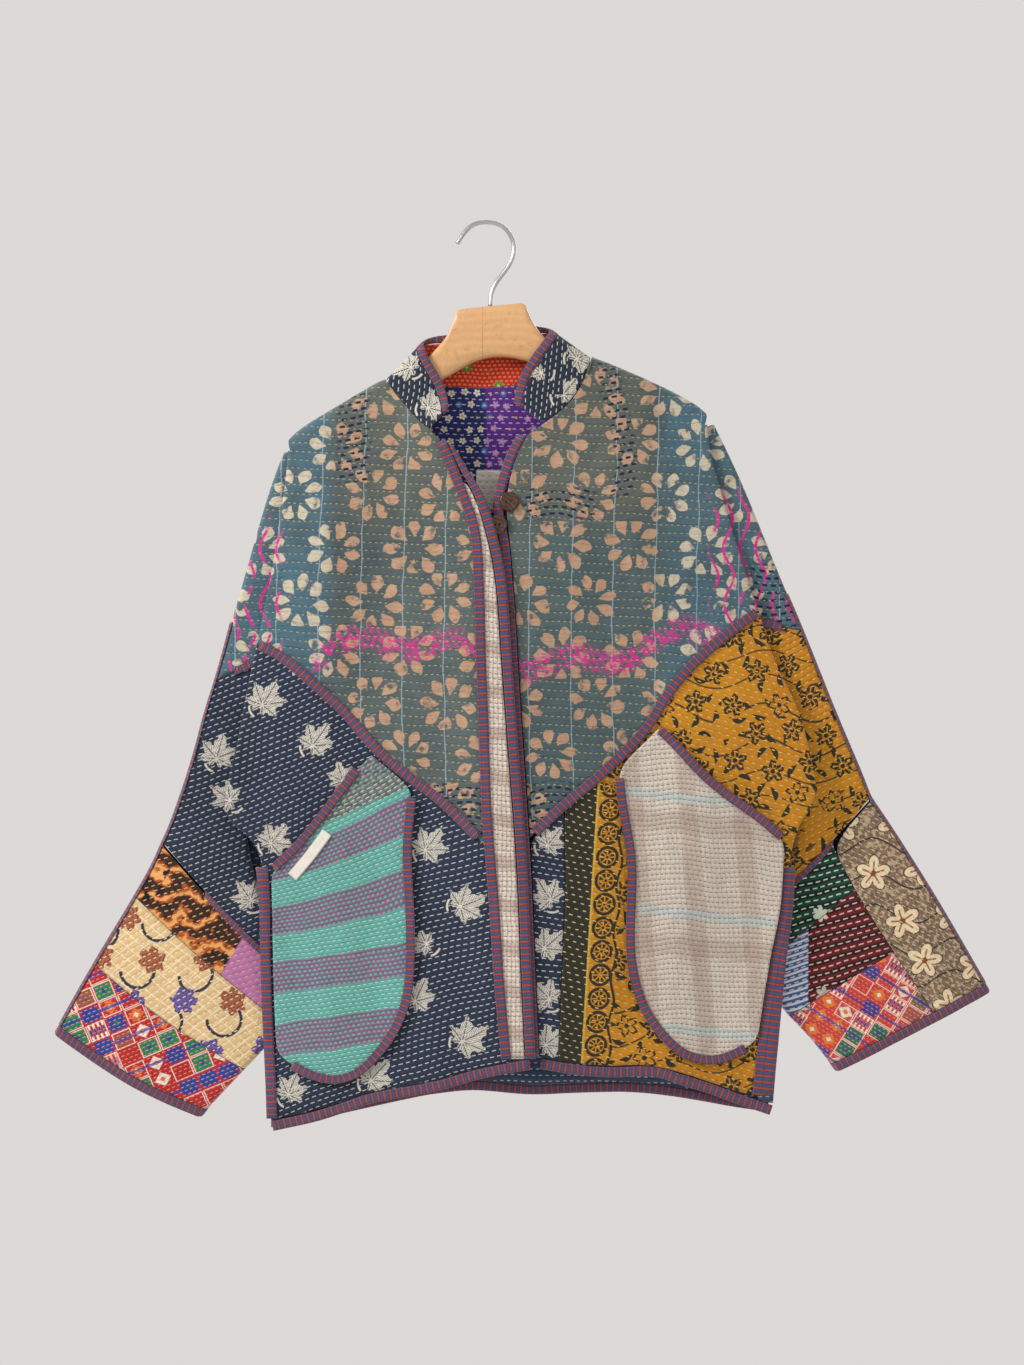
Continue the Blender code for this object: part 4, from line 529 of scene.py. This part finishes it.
def collar_cloth():
    """Dark slate navy with cream leaves and rows of white stitches."""
    cloth = Cloth("collar_print", (30, 40, 56))
    cloth.leaf(*cloth.placed(COLLAR_LEAVES, 22.0), (206, 200, 184), (56, 60, 72))
    cloth.dashes(cloth.z, cloth.x - cloth.z * 0.1, 5.4, 0.45, 7.0, 0.55, (196, 200, 200))
    return cloth.finished(bump=0.5)


def lining_back():
    """Inside of the back: flowered navy on the left, purple on the right, a cream patch, blue below."""
    cloth = Cloth("lining_back", (32, 40, 92))
    cloth.paint(cloth.true_x.above(-4, 2), (84, 38, 128))
    local_x, local_z, chance = cloth.staggered(13, 12, jitter=4)
    radius, angle = cloth.polar(local_x, local_z, chance * 6.0)
    flower = radius.below((angle * 2.5).sin().abs() * 1.8 + 2.0, 0.6)
    cloth.paint(flower * cloth.true_x.below(-4, 2) * chance.above(0.3, 0.02), (214, 208, 196))
    cloth.paint(flower * cloth.true_x.above(-4, 2) * chance.above(0.4, 0.02), (166, 122, 190))
    cloth.paint(radius.below(3.2, 0.8) * chance.below(0.2, 0.02), (46, 110, 176))
    cloth.paint(radius.below(1.2, 0.6), (208, 150, 60))
    cream = cloth.true_x.between(-13, 13, 1.0) * cloth.true_z.between(-286, -246, 1.0)
    cloth.paint(cream, (240, 232, 216))
    cloth.paint(cloth.true_z.below(-700, 20), (52, 70, 96))
    cloth.dashes(cloth.x, cloth.z, 6.0, 0.5, 7.0, 0.5, (190, 184, 206))
    return cloth.finished(bump=0.5)


def lining_collar():
    """Inside of the collar: red with pink and orange dashes and green flowers."""
    cloth = Cloth("lining_collar", (188, 40, 40))
    cloth.dashes(cloth.x, cloth.z, 4.0, 1.0, 5.0, 0.6, (232, 120, 64))
    local_x, local_z, chance = cloth.staggered(22, 18, jitter=6)
    radius, angle = cloth.polar(local_x, local_z)
    flower = radius.below((angle * 3.0).sin().abs() * 2.6 + 3.2, 0.7)
    cloth.paint(flower * chance.above(0.4, 0.02), (84, 148, 60))
    cloth.paint(radius.below(1.6, 0.5) * chance.above(0.4, 0.02), (230, 190, 90))
    return cloth.finished(bump=0.5)


def lining_front():
    """Plain quilted lining."""
    cloth = Cloth("lining_front", (44, 54, 78))
    cloth.dashes(cloth.x, cloth.z, 6.2, 0.5, 8.0, 0.5, (150, 156, 168))
    return cloth.finished(bump=0.5)


def label_cloth():
    """Blank cream label with a woven rib and a dark edge thread."""
    cloth = Cloth("label_cloth", (232, 228, 218), rough=0.75)
    across = cloth.attribute("across")
    cloth.paint((across.abs() - 4.9).abs().below(0.35, 0.4) * 0.5, (176, 168, 154))
    cloth.height = cloth.height + (across * 6.0).sin() * 0.3
    return cloth.finished(wear=0.04, bump=0.4)


def beech():
    """Pale beech with grain along the hanger, short flecks and a satin coat."""
    cloth = Cloth("beech_grain", (212, 164, 114), rough=0.42, sheen=0.0, weave=0.0)
    rings = (cloth.true_z + cloth.true_x * 0.12 + (cloth.noise(9, 2.0) - 0.5) * 44.0).off(9.0)
    cloth.paint(rings.below(2.4, 2.6) * 0.45, (196, 146, 98))
    fleck = cloth.noise(170, 2.0, 2.0).above(0.63, 0.05)
    cloth.paint(fleck * 0.4, (178, 126, 82))
    cloth.paint((cloth.true_x + 6.5).abs().below(0.35, 0.4) * 0.7, (150, 104, 66))
    cloth.paint(cloth.noise(14, 2.0, 6.0).above(0.5, 0.25) * 0.35, (222, 180, 132))
    cloth.shader.inputs["Coat Weight"].default_value = 0.3
    cloth.shader.inputs["Coat Roughness"].default_value = 0.25
    cloth.height = cloth.height * 0.15 + rings * 0.03
    return cloth.finished(wear=0.06, bump=0.12)


def steel():
    """Satin steel with fine drawn lines and faint handling marks."""
    made = bpy.data.materials.new("satin_steel")
    made.use_nodes = True
    tree = made.node_tree
    shader = tree.nodes["Principled BSDF"]
    shader.inputs["Metallic"].default_value = 1.0
    place = tree.nodes.new("ShaderNodeTexCoord").outputs["Object"]
    grain = tree.nodes.new("ShaderNodeTexNoise")
    grain.inputs["Scale"].default_value = 700
    tree.links.new(place, grain.inputs["Vector"])
    marks = tree.nodes.new("ShaderNodeTexNoise")
    marks.inputs["Scale"].default_value = 60
    tree.links.new(place, marks.inputs["Vector"])
    rough = Value(tree, grain.outputs[0]) * 0.12 + Value(tree, marks.outputs[0]) * 0.14 + 0.16
    tree.links.new(rough.socket, shader.inputs["Roughness"])
    ramp = tree.nodes.new("ShaderNodeValToRGB")
    ramp.color_ramp.elements[0].color = (0.42, 0.43, 0.45, 1)
    ramp.color_ramp.elements[1].color = (0.58, 0.59, 0.61, 1)
    tree.links.new(marks.outputs[0], ramp.inputs[0])
    tree.links.new(ramp.outputs[0], shader.inputs["Base Color"])
    bump = tree.nodes.new("ShaderNodeBump")
    bump.inputs["Strength"].default_value = 0.08
    bump.inputs["Distance"].default_value = 0.0005
    tree.links.new(grain.outputs[0], bump.inputs["Height"])
    tree.links.new(bump.outputs[0], shader.inputs["Normal"])
    return made


def button_shell():
    """Dark brown polished shell with soft streaks."""
    cloth = Cloth("button_brown", (58, 36, 26), rough=0.32, sheen=0.0, weave=0.0)
    wander = (cloth.noise(70, 3.0) - 0.5) * 22.0
    streak = (cloth.true_x * 0.6 + cloth.true_z + wander).off(5.0).below(1.2, 1.5)
    cloth.paint(streak * 0.5, (104, 72, 50))
    cloth.paint(cloth.noise(140, 2.0, 4.0).above(0.6, 0.1) * 0.4, (30, 20, 16))
    cloth.shader.inputs["Coat Weight"].default_value = 0.4
    cloth.height = cloth.height * 0.05
    return cloth.finished(wear=0.1, bump=0.05)


# The back's neckline, in millimetres east and up
BACK_NECK = [(-104.5, -155), (-88, -156.5), (-60, -161), (-25, -164), (10, -164), (45, -158), (75, -149),
             (103.5, -133)]
# The band under it that is lifted to the collar: height in millimetres, the rest in metres
NECK_BAND = 3.6
NECK_HALF_WIDTH = 0.092
NECK_FRONT = 0.004
NECK_LIFT = 0.0017
# Distance at which points are one, in metres, and angles that are merged, kept and shaded sharp, in radians
WELD = 2e-6
MERGE_FACES, MERGE_SHAPES, SHADE_SHARP = math.radians(40), math.radians(150), math.radians(48)
# How far the hook's faceted wire is grown toward its true roundness, in metres
HOOK_GROWTH = 0.0005
# How far a face's direction leans toward the inside before it is lining, as a share of 1
LINING_LEAN = 0.35
COLLAR_LEAN = 0.15


def value_noise(x, z, seed):
    """Smooth noise over a plane, worked out for whole arrays."""
    ix, iz = np.floor(x), np.floor(z)
    fx, fz = x - ix, z - iz
    fx, fz = fx * fx * (3 - 2 * fx), fz * fz * (3 - 2 * fz)

    def corner(a, b):
        s = np.sin((ix + a) * 127.1 + (iz + b) * 311.7 + seed * 74.7) * 43758.5453
        return s - np.floor(s)
    top = corner(0, 0) * (1 - fx) + corner(1, 0) * fx
    low = corner(0, 1) * (1 - fx) + corner(1, 1) * fx
    return (top * (1 - fz) + low * fz) * 2 - 1


def creases(x, z):
    """Depth in millimetres of the soft creases that cloth keeps from hanging and from its quilting."""
    turn_x, turn_z = x * 0.94 + z * 0.34, z * 0.94 - x * 0.34
    free = np.clip((-z - 330) / 120, 0, 1)
    wide = value_noise(turn_x / 42, turn_z / 95, 1) * (0.9 + 0.9 * free)
    wide = wide + value_noise(x / 26 + z / 140, z / 150, 4) * 1.3 * free
    fine = value_noise(x / 17 + z / 60, z / 26, 2) * 0.65
    pucker = value_noise(x / 8.5, z / 7.5, 3) * 0.28
    return wide + fine + pucker


def vectors(items, name):
    """Read a property of three numbers from all of a mesh's points or faces."""
    values = np.empty(len(items) * 3)
    items.foreach_get(name, values)
    return values.reshape(-1, 3)


def smoothed(node, levels, crease, angle):
    """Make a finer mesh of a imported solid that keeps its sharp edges."""
    shape = bmesh.new()
    shape.from_mesh(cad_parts[node].data)
    bmesh.ops.remove_doubles(shape, verts=shape.verts, dist=WELD)
    bmesh.ops.join_triangles(shape, faces=shape.faces, angle_face_threshold=MERGE_FACES,
                             angle_shape_threshold=MERGE_SHAPES)
    layer = shape.edges.layers.float.get("crease_edge") or shape.edges.layers.float.new("crease_edge")
    for edge in shape.edges:
        if len(edge.link_faces) == 2 and edge.calc_face_angle(0.0) > math.radians(angle):
            edge[layer] = crease
    mesh = bpy.data.meshes.new(node + "_cloth")
    shape.to_mesh(mesh)
    shape.free()
    coarse = bpy.data.objects.new(node + "_coarse", mesh)
    scene.collection.objects.link(coarse)
    smooth = coarse.modifiers.new("smooth", "SUBSURF")
    smooth.levels = smooth.render_levels = levels
    smooth.use_limit_surface = False
    fine = bpy.data.meshes.new_from_object(coarse.evaluated_get(bpy.context.evaluated_depsgraph_get()))
    bpy.data.objects.remove(coarse)
    return fine


def shaped(node, fine, soft):
    """Grow the hook, lift the back's neckline to the collar, and lay the creases into the cloth."""
    points = vectors(fine.vertices, "co")
    if node == "hanger_hook":
        points += vectors(fine.vertices, "normal") * HOOK_GROWTH
        fine.vertices.foreach_set("co", points.ravel())
    if node == "back_panel":
        line = np.interp(points[:, 0] * MILLIMETRES, *zip(*BACK_NECK))
        near = (points[:, 2] * MILLIMETRES > line - NECK_BAND) & (points[:, 1] > NECK_FRONT)
        points[near & (np.abs(points[:, 0]) < NECK_HALF_WIDTH), 2] += NECK_LIFT
    if soft:
        points[:, 1] += creases(points[:, 0] * MILLIMETRES, points[:, 2] * MILLIMETRES) * MILLIMETRE
        fine.vertices.foreach_set("co", points.ravel())
        fine.update()


def refined(node, levels, outer, inner=None, outward=-1, crease=1.0, soft=True, angle=70):
    """Make the fine piece that stands for a solid, with its cloth outside and its lining inside."""
    fine = smoothed(node, levels, crease, angle)
    shaped(node, fine, soft)
    piece = bpy.data.objects.new(node + "_fine", fine)
    scene.collection.objects.link(piece)
    fine.materials.clear()
    fine.materials.append(outer)
    inside = np.zeros(len(fine.polygons), bool)
    if inner is not None:
        fine.materials.append(inner)
        inside = vectors(fine.polygons, "normal")[:, 1] * outward < -LINING_LEAN
    fine.polygons.foreach_set("material_index", inside.astype(np.int32))
    fine.shade_smooth()
    fine.set_sharp_from_angle(angle=SHADE_SHARP)
    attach(piece, "root")
    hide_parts(node)
    return piece


def line_collar(mesh):
    """Give the collar's faces toward the neck their own lining."""
    mesh.materials.append(LINING_COLLAR)
    depth = vectors(mesh.polygons, "center")[:, 1]
    inside = vectors(mesh.polygons, "normal")[:, 1] * np.sign(depth + MILLIMETRE) < -COLLAR_LEAN
    mesh.polygons.foreach_set("material_index", inside.astype(np.int32))


def measured(piece, line):
    """Store how far along and across a line each point of a tape lies."""
    knots = np.array(line, float)
    dense = [knots[0]]
    for a, b in zip(knots[:-1], knots[1:]):
        steps = max(2, int(np.linalg.norm(b - a) / 3))
        dense += [a + (b - a) * k / steps for k in range(1, steps + 1)]
    dense = np.array(dense)
    length = np.concatenate([[0.0], np.cumsum(np.linalg.norm(np.diff(dense, axis=0), axis=1))])
    mesh = piece.data
    flat = vectors(mesh.vertices, "co")[:, [0, 2]] * MILLIMETRES
    along, across = np.zeros(len(flat)), np.zeros(len(flat))
    for k, point in enumerate(flat):
        gaps = np.sum((dense[:-1] - point) ** 2, axis=1)
        n = int(np.argmin(gaps))
        run = dense[n + 1] - dense[n]
        size = np.linalg.norm(run)
        run = run / size
        away = point - dense[n]
        along[k] = length[n] + float(np.dot(away, run))
        across[k] = run[0] * away[1] - run[1] * away[0]
    for name, values in (("along", along), ("across", across)):
        store = mesh.attributes.new(name, "FLOAT", "POINT")
        store.data.foreach_set("value", values.astype(np.float32))


YOKE = yoke_cloth("slate_print")
SLATE = yoke_cloth("slate_plain", printed=False)
NAVY = navy_cloth()
NAVY_STRIP = navy_cloth("navy_strip", 0.1, STRIP_LEAVES, reach=24.0)
MUSTARD = mustard_print()
MUSTARD_PLAIN = mustard_print("mustard_sleeve", -0.5, False)
TEAL, PLAID, PLACKET = pocket_teal(), cream_plaid("pocket_plaid"), cream_plaid("placket_plaid", False)
BATIK, LATTICE, FLORAL = batik(), lattice(), floral()
RED = blocks("red_blocks", (176, 36, 40),
             [(34, 60, 146), (226, 216, 204), (34, 120, 84), (216, 104, 40)], 0.42)
CORAL = blocks("coral_blocks", (196, 62, 54),
               [(62, 56, 140), (216, 116, 34), (30, 110, 88), (226, 214, 200)], -0.62)
GREEN = striped("green_stripe", (12, 66, 46), (12, 24, 22), (204, 222, 208), -0.25)
MAROON = striped("maroon_stripe", (100, 16, 26), (34, 14, 18), (222, 190, 176), -0.3)
TAPE_LOOK, COLLAR_LOOK, LABEL_LOOK = tape_cloth(), collar_cloth(), label_cloth()
LINING_BACK, LINING_COLLAR, LINING = lining_back(), lining_collar(), lining_front()
WOOD, STEEL, SHELL = beech(), steel(), button_shell()

# Cloth pieces: node, levels of smoothing, outer cloth, lining, side that faces out (-1 for the front), slot
PANELS = [
    ("yoke_front_l", 3, YOKE, LINING, -1, "slate_cloth"),
    ("yoke_front_r", 3, YOKE, LINING, -1, "slate_cloth"),
    ("lower_front_l", 3, NAVY, LINING, -1, "navy_cloth"),
    ("lower_front_r_mustard", 3, MUSTARD, LINING, -1, "mustard_cloth"),
    ("lower_front_r_navy", 3, NAVY_STRIP, LINING, -1, "navy_cloth"),
    ("back_panel", 2, SLATE, LINING_BACK, 1, "slate_cloth"),
    ("collar", 3, COLLAR_LOOK, None, -1, "navy_cloth"),
    ("placket", 2, PLACKET, LINING, -1, "cream_cloth"),
    ("pocket_l", 3, TEAL, LINING, -1, "teal_cloth"),
    ("pocket_r", 3, PLAID, LINING, -1, "cream_cloth"),
    ("sleeve_upper_front_l", 3, YOKE, LINING, -1, "slate_cloth"),
    ("sleeve_upper_front_r", 3, YOKE, LINING, -1, "slate_cloth"),
    ("sleeve_middle_front_l", 3, NAVY, LINING, -1, "navy_cloth"),
    ("sleeve_middle_front_r", 3, MUSTARD_PLAIN, LINING, -1, "mustard_cloth"),
    ("sleeve_upper_back_l", 2, SLATE, LINING, 1, "slate_cloth"),
    ("sleeve_upper_back_r", 2, SLATE, LINING, 1, "slate_cloth"),
    ("sleeve_middle_back_l", 2, NAVY, LINING, 1, "navy_cloth"),
    ("sleeve_middle_back_r", 2, MUSTARD_PLAIN, LINING, 1, "mustard_cloth"),
    ("sleeve_cuff_back_l", 3, LATTICE, LINING, 1, "lattice_cloth"),
    ("sleeve_cuff_back_r", 3, MUSTARD_PLAIN, LINING, 1, "mustard_cloth"),
    ("cuff_batik_l", 3, BATIK, LINING, -1, "batik_cloth"),
    ("cuff_lattice_l", 3, LATTICE, LINING, -1, "lattice_cloth"),
    ("cuff_red_l", 3, RED, LINING, -1, "red_cloth"),
    ("cuff_floral_r", 3, FLORAL, LINING, -1, "floral_cloth"),
    ("cuff_green_r", 3, GREEN, LINING, -1, "green_cloth"),
    ("cuff_maroon_r", 3, MAROON, LINING, -1, "maroon_cloth"),
    ("cuff_coral_r", 3, CORAL, LINING, -1, "coral_cloth"),
]

# Routes of the tapes and of the label, in millimetres east and up
TAPES = {
    "tape_collar": [(-43, -207), (-42.5, -192), (-44.5, -176), (-50, -161), (-58, -148), (-66, -135),
                    (-70, -120), (-62, -115), (-44, -114), (-20, -112.5), (8, -110), (30, -107),
                    (50, -103.5), (66, -107), (60, -118), (48, -133.4), (37.4, -149.4), (31.2, -165.5),
                    (28.5, -183.4), (30, -203)],
    "tape_placket": [(-49, -218), (-36.5, -246), (-26, -274), (-17, -295.5), (-12.2, -319), (-9.4, -382),
                     (-8, -436), (-4.6, -523), (-2.3, -591), (4.4, -670), (10, -759), (17.5, -838)],
    "tape_front_l": [(-41, -222), (-34.5, -235), (-26, -248), (-10.5, -269.5), (-2, -295.5), (4.7, -319),
                     (11, -350), (14.4, -382), (17.7, -436), (24, -523), (27.8, -569), (33.4, -647),
                     (36.8, -737), (41.5, -838)],
    "tape_front_r": [(36.5, -206), (24, -228), (14, -257), (8, -288), (10.5, -300), (17.5, -350),
                     (20.5, -382), (29, -523), (37, -647), (40.5, -736), (45, -838)],
    "tape_yoke_l": [(-233, -421.5), (-209, -433), (-187, -451), (-166, -470), (-144, -490), (-124.5, -514),
                    (-107, -533), (-85.5, -551), (-64, -566), (-42, -583), (-20, -605), (0.5, -627)],
    "tape_yoke_r": [(270.5, -388), (245, -407), (214.7, -431.5), (194, -452), (174, -478), (161.6, -501),
                    (145, -521), (125, -539.6), (100, -562), (72, -584.5), (40.6, -615)],
    "tape_side_l": [(-228, -640), (-226.5, -650), (-224.3, -736), (-222.3, -796), (-219.3, -855),
                    (-217.5, -900)],
    "tape_side_r": [(301, -640), (297, -692), (288, -736.6), (281, -781), (274.5, -826), (269.2, -876)],
    "tape_hem_l": [(-217.5, -906), (-190, -900), (-150, -888), (-120.5, -877), (-91, -871), (-51, -863),
                   (-12, -851), (17, -844), (40.5, -840.5)],
    "tape_hem_r": [(52, -840.5), (80, -846), (125, -850), (169.6, -850), (192, -858), (225, -869),
                   (259, -882), (283, -890)],
    "tape_hem_back": [(-224, -905), (-190, -900), (-150, -890), (-87, -877), (-51, -870), (-9, -867),
                      (36, -873), (80, -871), (125, -869), (170, -869), (203, -875), (250, -884),
                      (286, -889)],
    "tape_pocket_l": [(-76, -567), (-79, -594), (-82, -625), (-79.5, -677), (-78, -737), (-81, -776),
                      (-93, -806), (-111, -832), (-130, -851), (-150, -859), (-170, -857), (-194, -846),
                      (-212.5, -834)],
    "tape_pocket_r": [(129, -546), (134, -592), (143, -636), (141.7, -681), (140.6, -725), (145, -759),
                      (154, -786), (170, -808), (192, -830), (214, -839), (236, -837), (254, -829),
                      (269, -820)],
    "tape_mouth_l": [(-218, -649), (-209, -640), (-190, -622), (-172, -600), (-150, -572), (-131, -546)],
    "tape_mouth_r": [(296, -618), (276, -600), (245, -578), (215, -554), (190, -527), (175, -511)],
    "tape_sleeve_l": [(-275, -458), (-221, -434)],
    "tape_sleeve_r": [(316, -409), (256, -397)],
    "tape_cuff_seam_l": [(-331, -622), (-234, -720), (-192, -766)],
    "tape_cuff_seam_r": [(386, -577), (306, -655), (264, -700)],
    "tape_overarm_l": [(-206, -229), (-231, -301), (-260, -401), (-286, -489), (-306, -560), (-331, -622),
                       (-367, -690), (-414, -769), (-434.5, -806)],
    "tape_overarm_r": [(226, -201), (263, -280), (300, -372), (334, -454), (361, -518), (386, -577),
                       (428, -640), (480, -727), (501.5, -764)],
    "tape_cuff_edge_l": [(-437, -813), (-420, -823), (-400, -835), (-370, -855), (-330, -880),
                         (-288, -897)],
    "tape_cuff_edge_r": [(506, -772), (470, -792), (430, -812), (390, -832), (351, -853)],
    "label": [(-161.5, -610), (-179, -634), (-197, -655)],
}

made = {}
for node, levels, outer, inner, outward, slot in PANELS:
    made[node] = refined(node, levels, outer, inner, outward)
line_collar(made["collar"].data)
for node, line in TAPES.items():
    made[node] = refined(node, 2, LABEL_LOOK if node == "label" else TAPE_LOOK)
    measured(made[node], line)
made["hanger_body"] = refined("hanger_body", 2, WOOD, soft=False, crease=0.85, angle=35)
made["hanger_hook"] = refined("hanger_hook", 2, STEEL, soft=False, angle=60)
for number in (1, 2, 3):
    node = f"button_{number}"
    made[node] = refined(node, 1, SHELL, soft=False, crease=0.6, angle=60)


def light(name, place, target, size, power, colour=(1.0, 0.98, 0.95)):
    """Add a soft square lamp that faces a point."""
    lamp = bpy.data.lights.new(name, "AREA")
    lamp.shape = "SQUARE"
    lamp.size = size
    lamp.energy = power
    lamp.color = colour
    thing = bpy.data.objects.new(name, lamp)
    thing.location = place
    aim = np.array(target, float) - np.array(place, float)
    yaw = math.atan2(-aim[0], aim[1])
    pitch = math.atan2(math.hypot(aim[0], aim[1]), -aim[2])
    thing.rotation_euler = (pitch, 0.0, yaw)
    scene.collection.objects.link(thing)


# The camera sees the photo's height from straight ahead: metres, with the sensor in millimetres
FRAME_HEIGHT = 1.365
FRAME_MIDDLE = (0.023, -0.4605)
CAMERA_DISTANCE = 2.7
FRONT_DEPTH = -0.015
SENSOR_HEIGHT, SENSOR_WIDTH = 36.0, 27.0
JACKET_MIDDLE = (0.0, 0.0, -0.5)
FLOOR_LEVEL = -1.9
FLOOR_SIDE = 6
FLOOR_BACK = 2.9


def camera():
    """Set the camera."""
    lens = bpy.data.cameras.new("camera")
    lens.sensor_fit = "VERTICAL"
    lens.sensor_height = SENSOR_HEIGHT
    lens.sensor_width = SENSOR_WIDTH
    lens.lens = SENSOR_HEIGHT * CAMERA_DISTANCE / FRAME_HEIGHT
    lens.clip_end = 50.0
    eye = bpy.data.objects.new("camera", lens)
    eye.location = (FRAME_MIDDLE[0], FRONT_DEPTH - CAMERA_DISTANCE, FRAME_MIDDLE[1])
    eye.rotation_euler = (math.radians(90), 0.0, 0.0)
    scene.collection.objects.link(eye)
    scene.camera = eye


def surroundings():
    """Set pale surroundings that are darker below."""
    world = bpy.data.worlds.new("studio")
    world.use_nodes = True
    tree = world.node_tree
    sky = tree.nodes["Background"]
    sky.inputs[0].default_value = linear((220, 217, 215))
    ways = tree.nodes.new("ShaderNodeSeparateXYZ")
    tree.links.new(tree.nodes.new("ShaderNodeTexCoord").outputs["Generated"], ways.inputs[0])
    strength = 1.0 - Value(tree, ways.outputs[2]).below(-0.5, 0.5) * 0.6
    tree.links.new(strength.socket, sky.inputs[1])
    scene.world = world


def floor():
    """Lay a pale floor."""
    mesh = bpy.data.meshes.new("floor")
    corners = [(-FLOOR_SIDE, -FLOOR_SIDE), (FLOOR_SIDE, -FLOOR_SIDE), (FLOOR_SIDE, FLOOR_BACK),
               (-FLOOR_SIDE, FLOOR_BACK)]
    mesh.from_pydata([(x, y, FLOOR_LEVEL) for x, y in corners], [], [(0, 1, 2, 3)])
    ground = bpy.data.objects.new("floor", mesh)
    scene.collection.objects.link(ground)
    paint = bpy.data.materials.new("floor_paint")
    paint.use_nodes = True
    shader = paint.node_tree.nodes["Principled BSDF"]
    shader.inputs["Base Color"].default_value = linear((226, 222, 217))
    shader.inputs["Roughness"].default_value = 0.8
    mesh.materials.append(paint)


camera()
light("key", (-2.0, -1.15, 0.8), JACKET_MIDDLE, 0.7, 62)
light("fill", (1.6, -1.9, 0.0), JACKET_MIDDLE, 1.6, 6, (0.95, 0.98, 1.0))
light("back", (0.6, 2.2, 0.8), JACKET_MIDDLE, 1.6, 24)
surroundings()
floor()
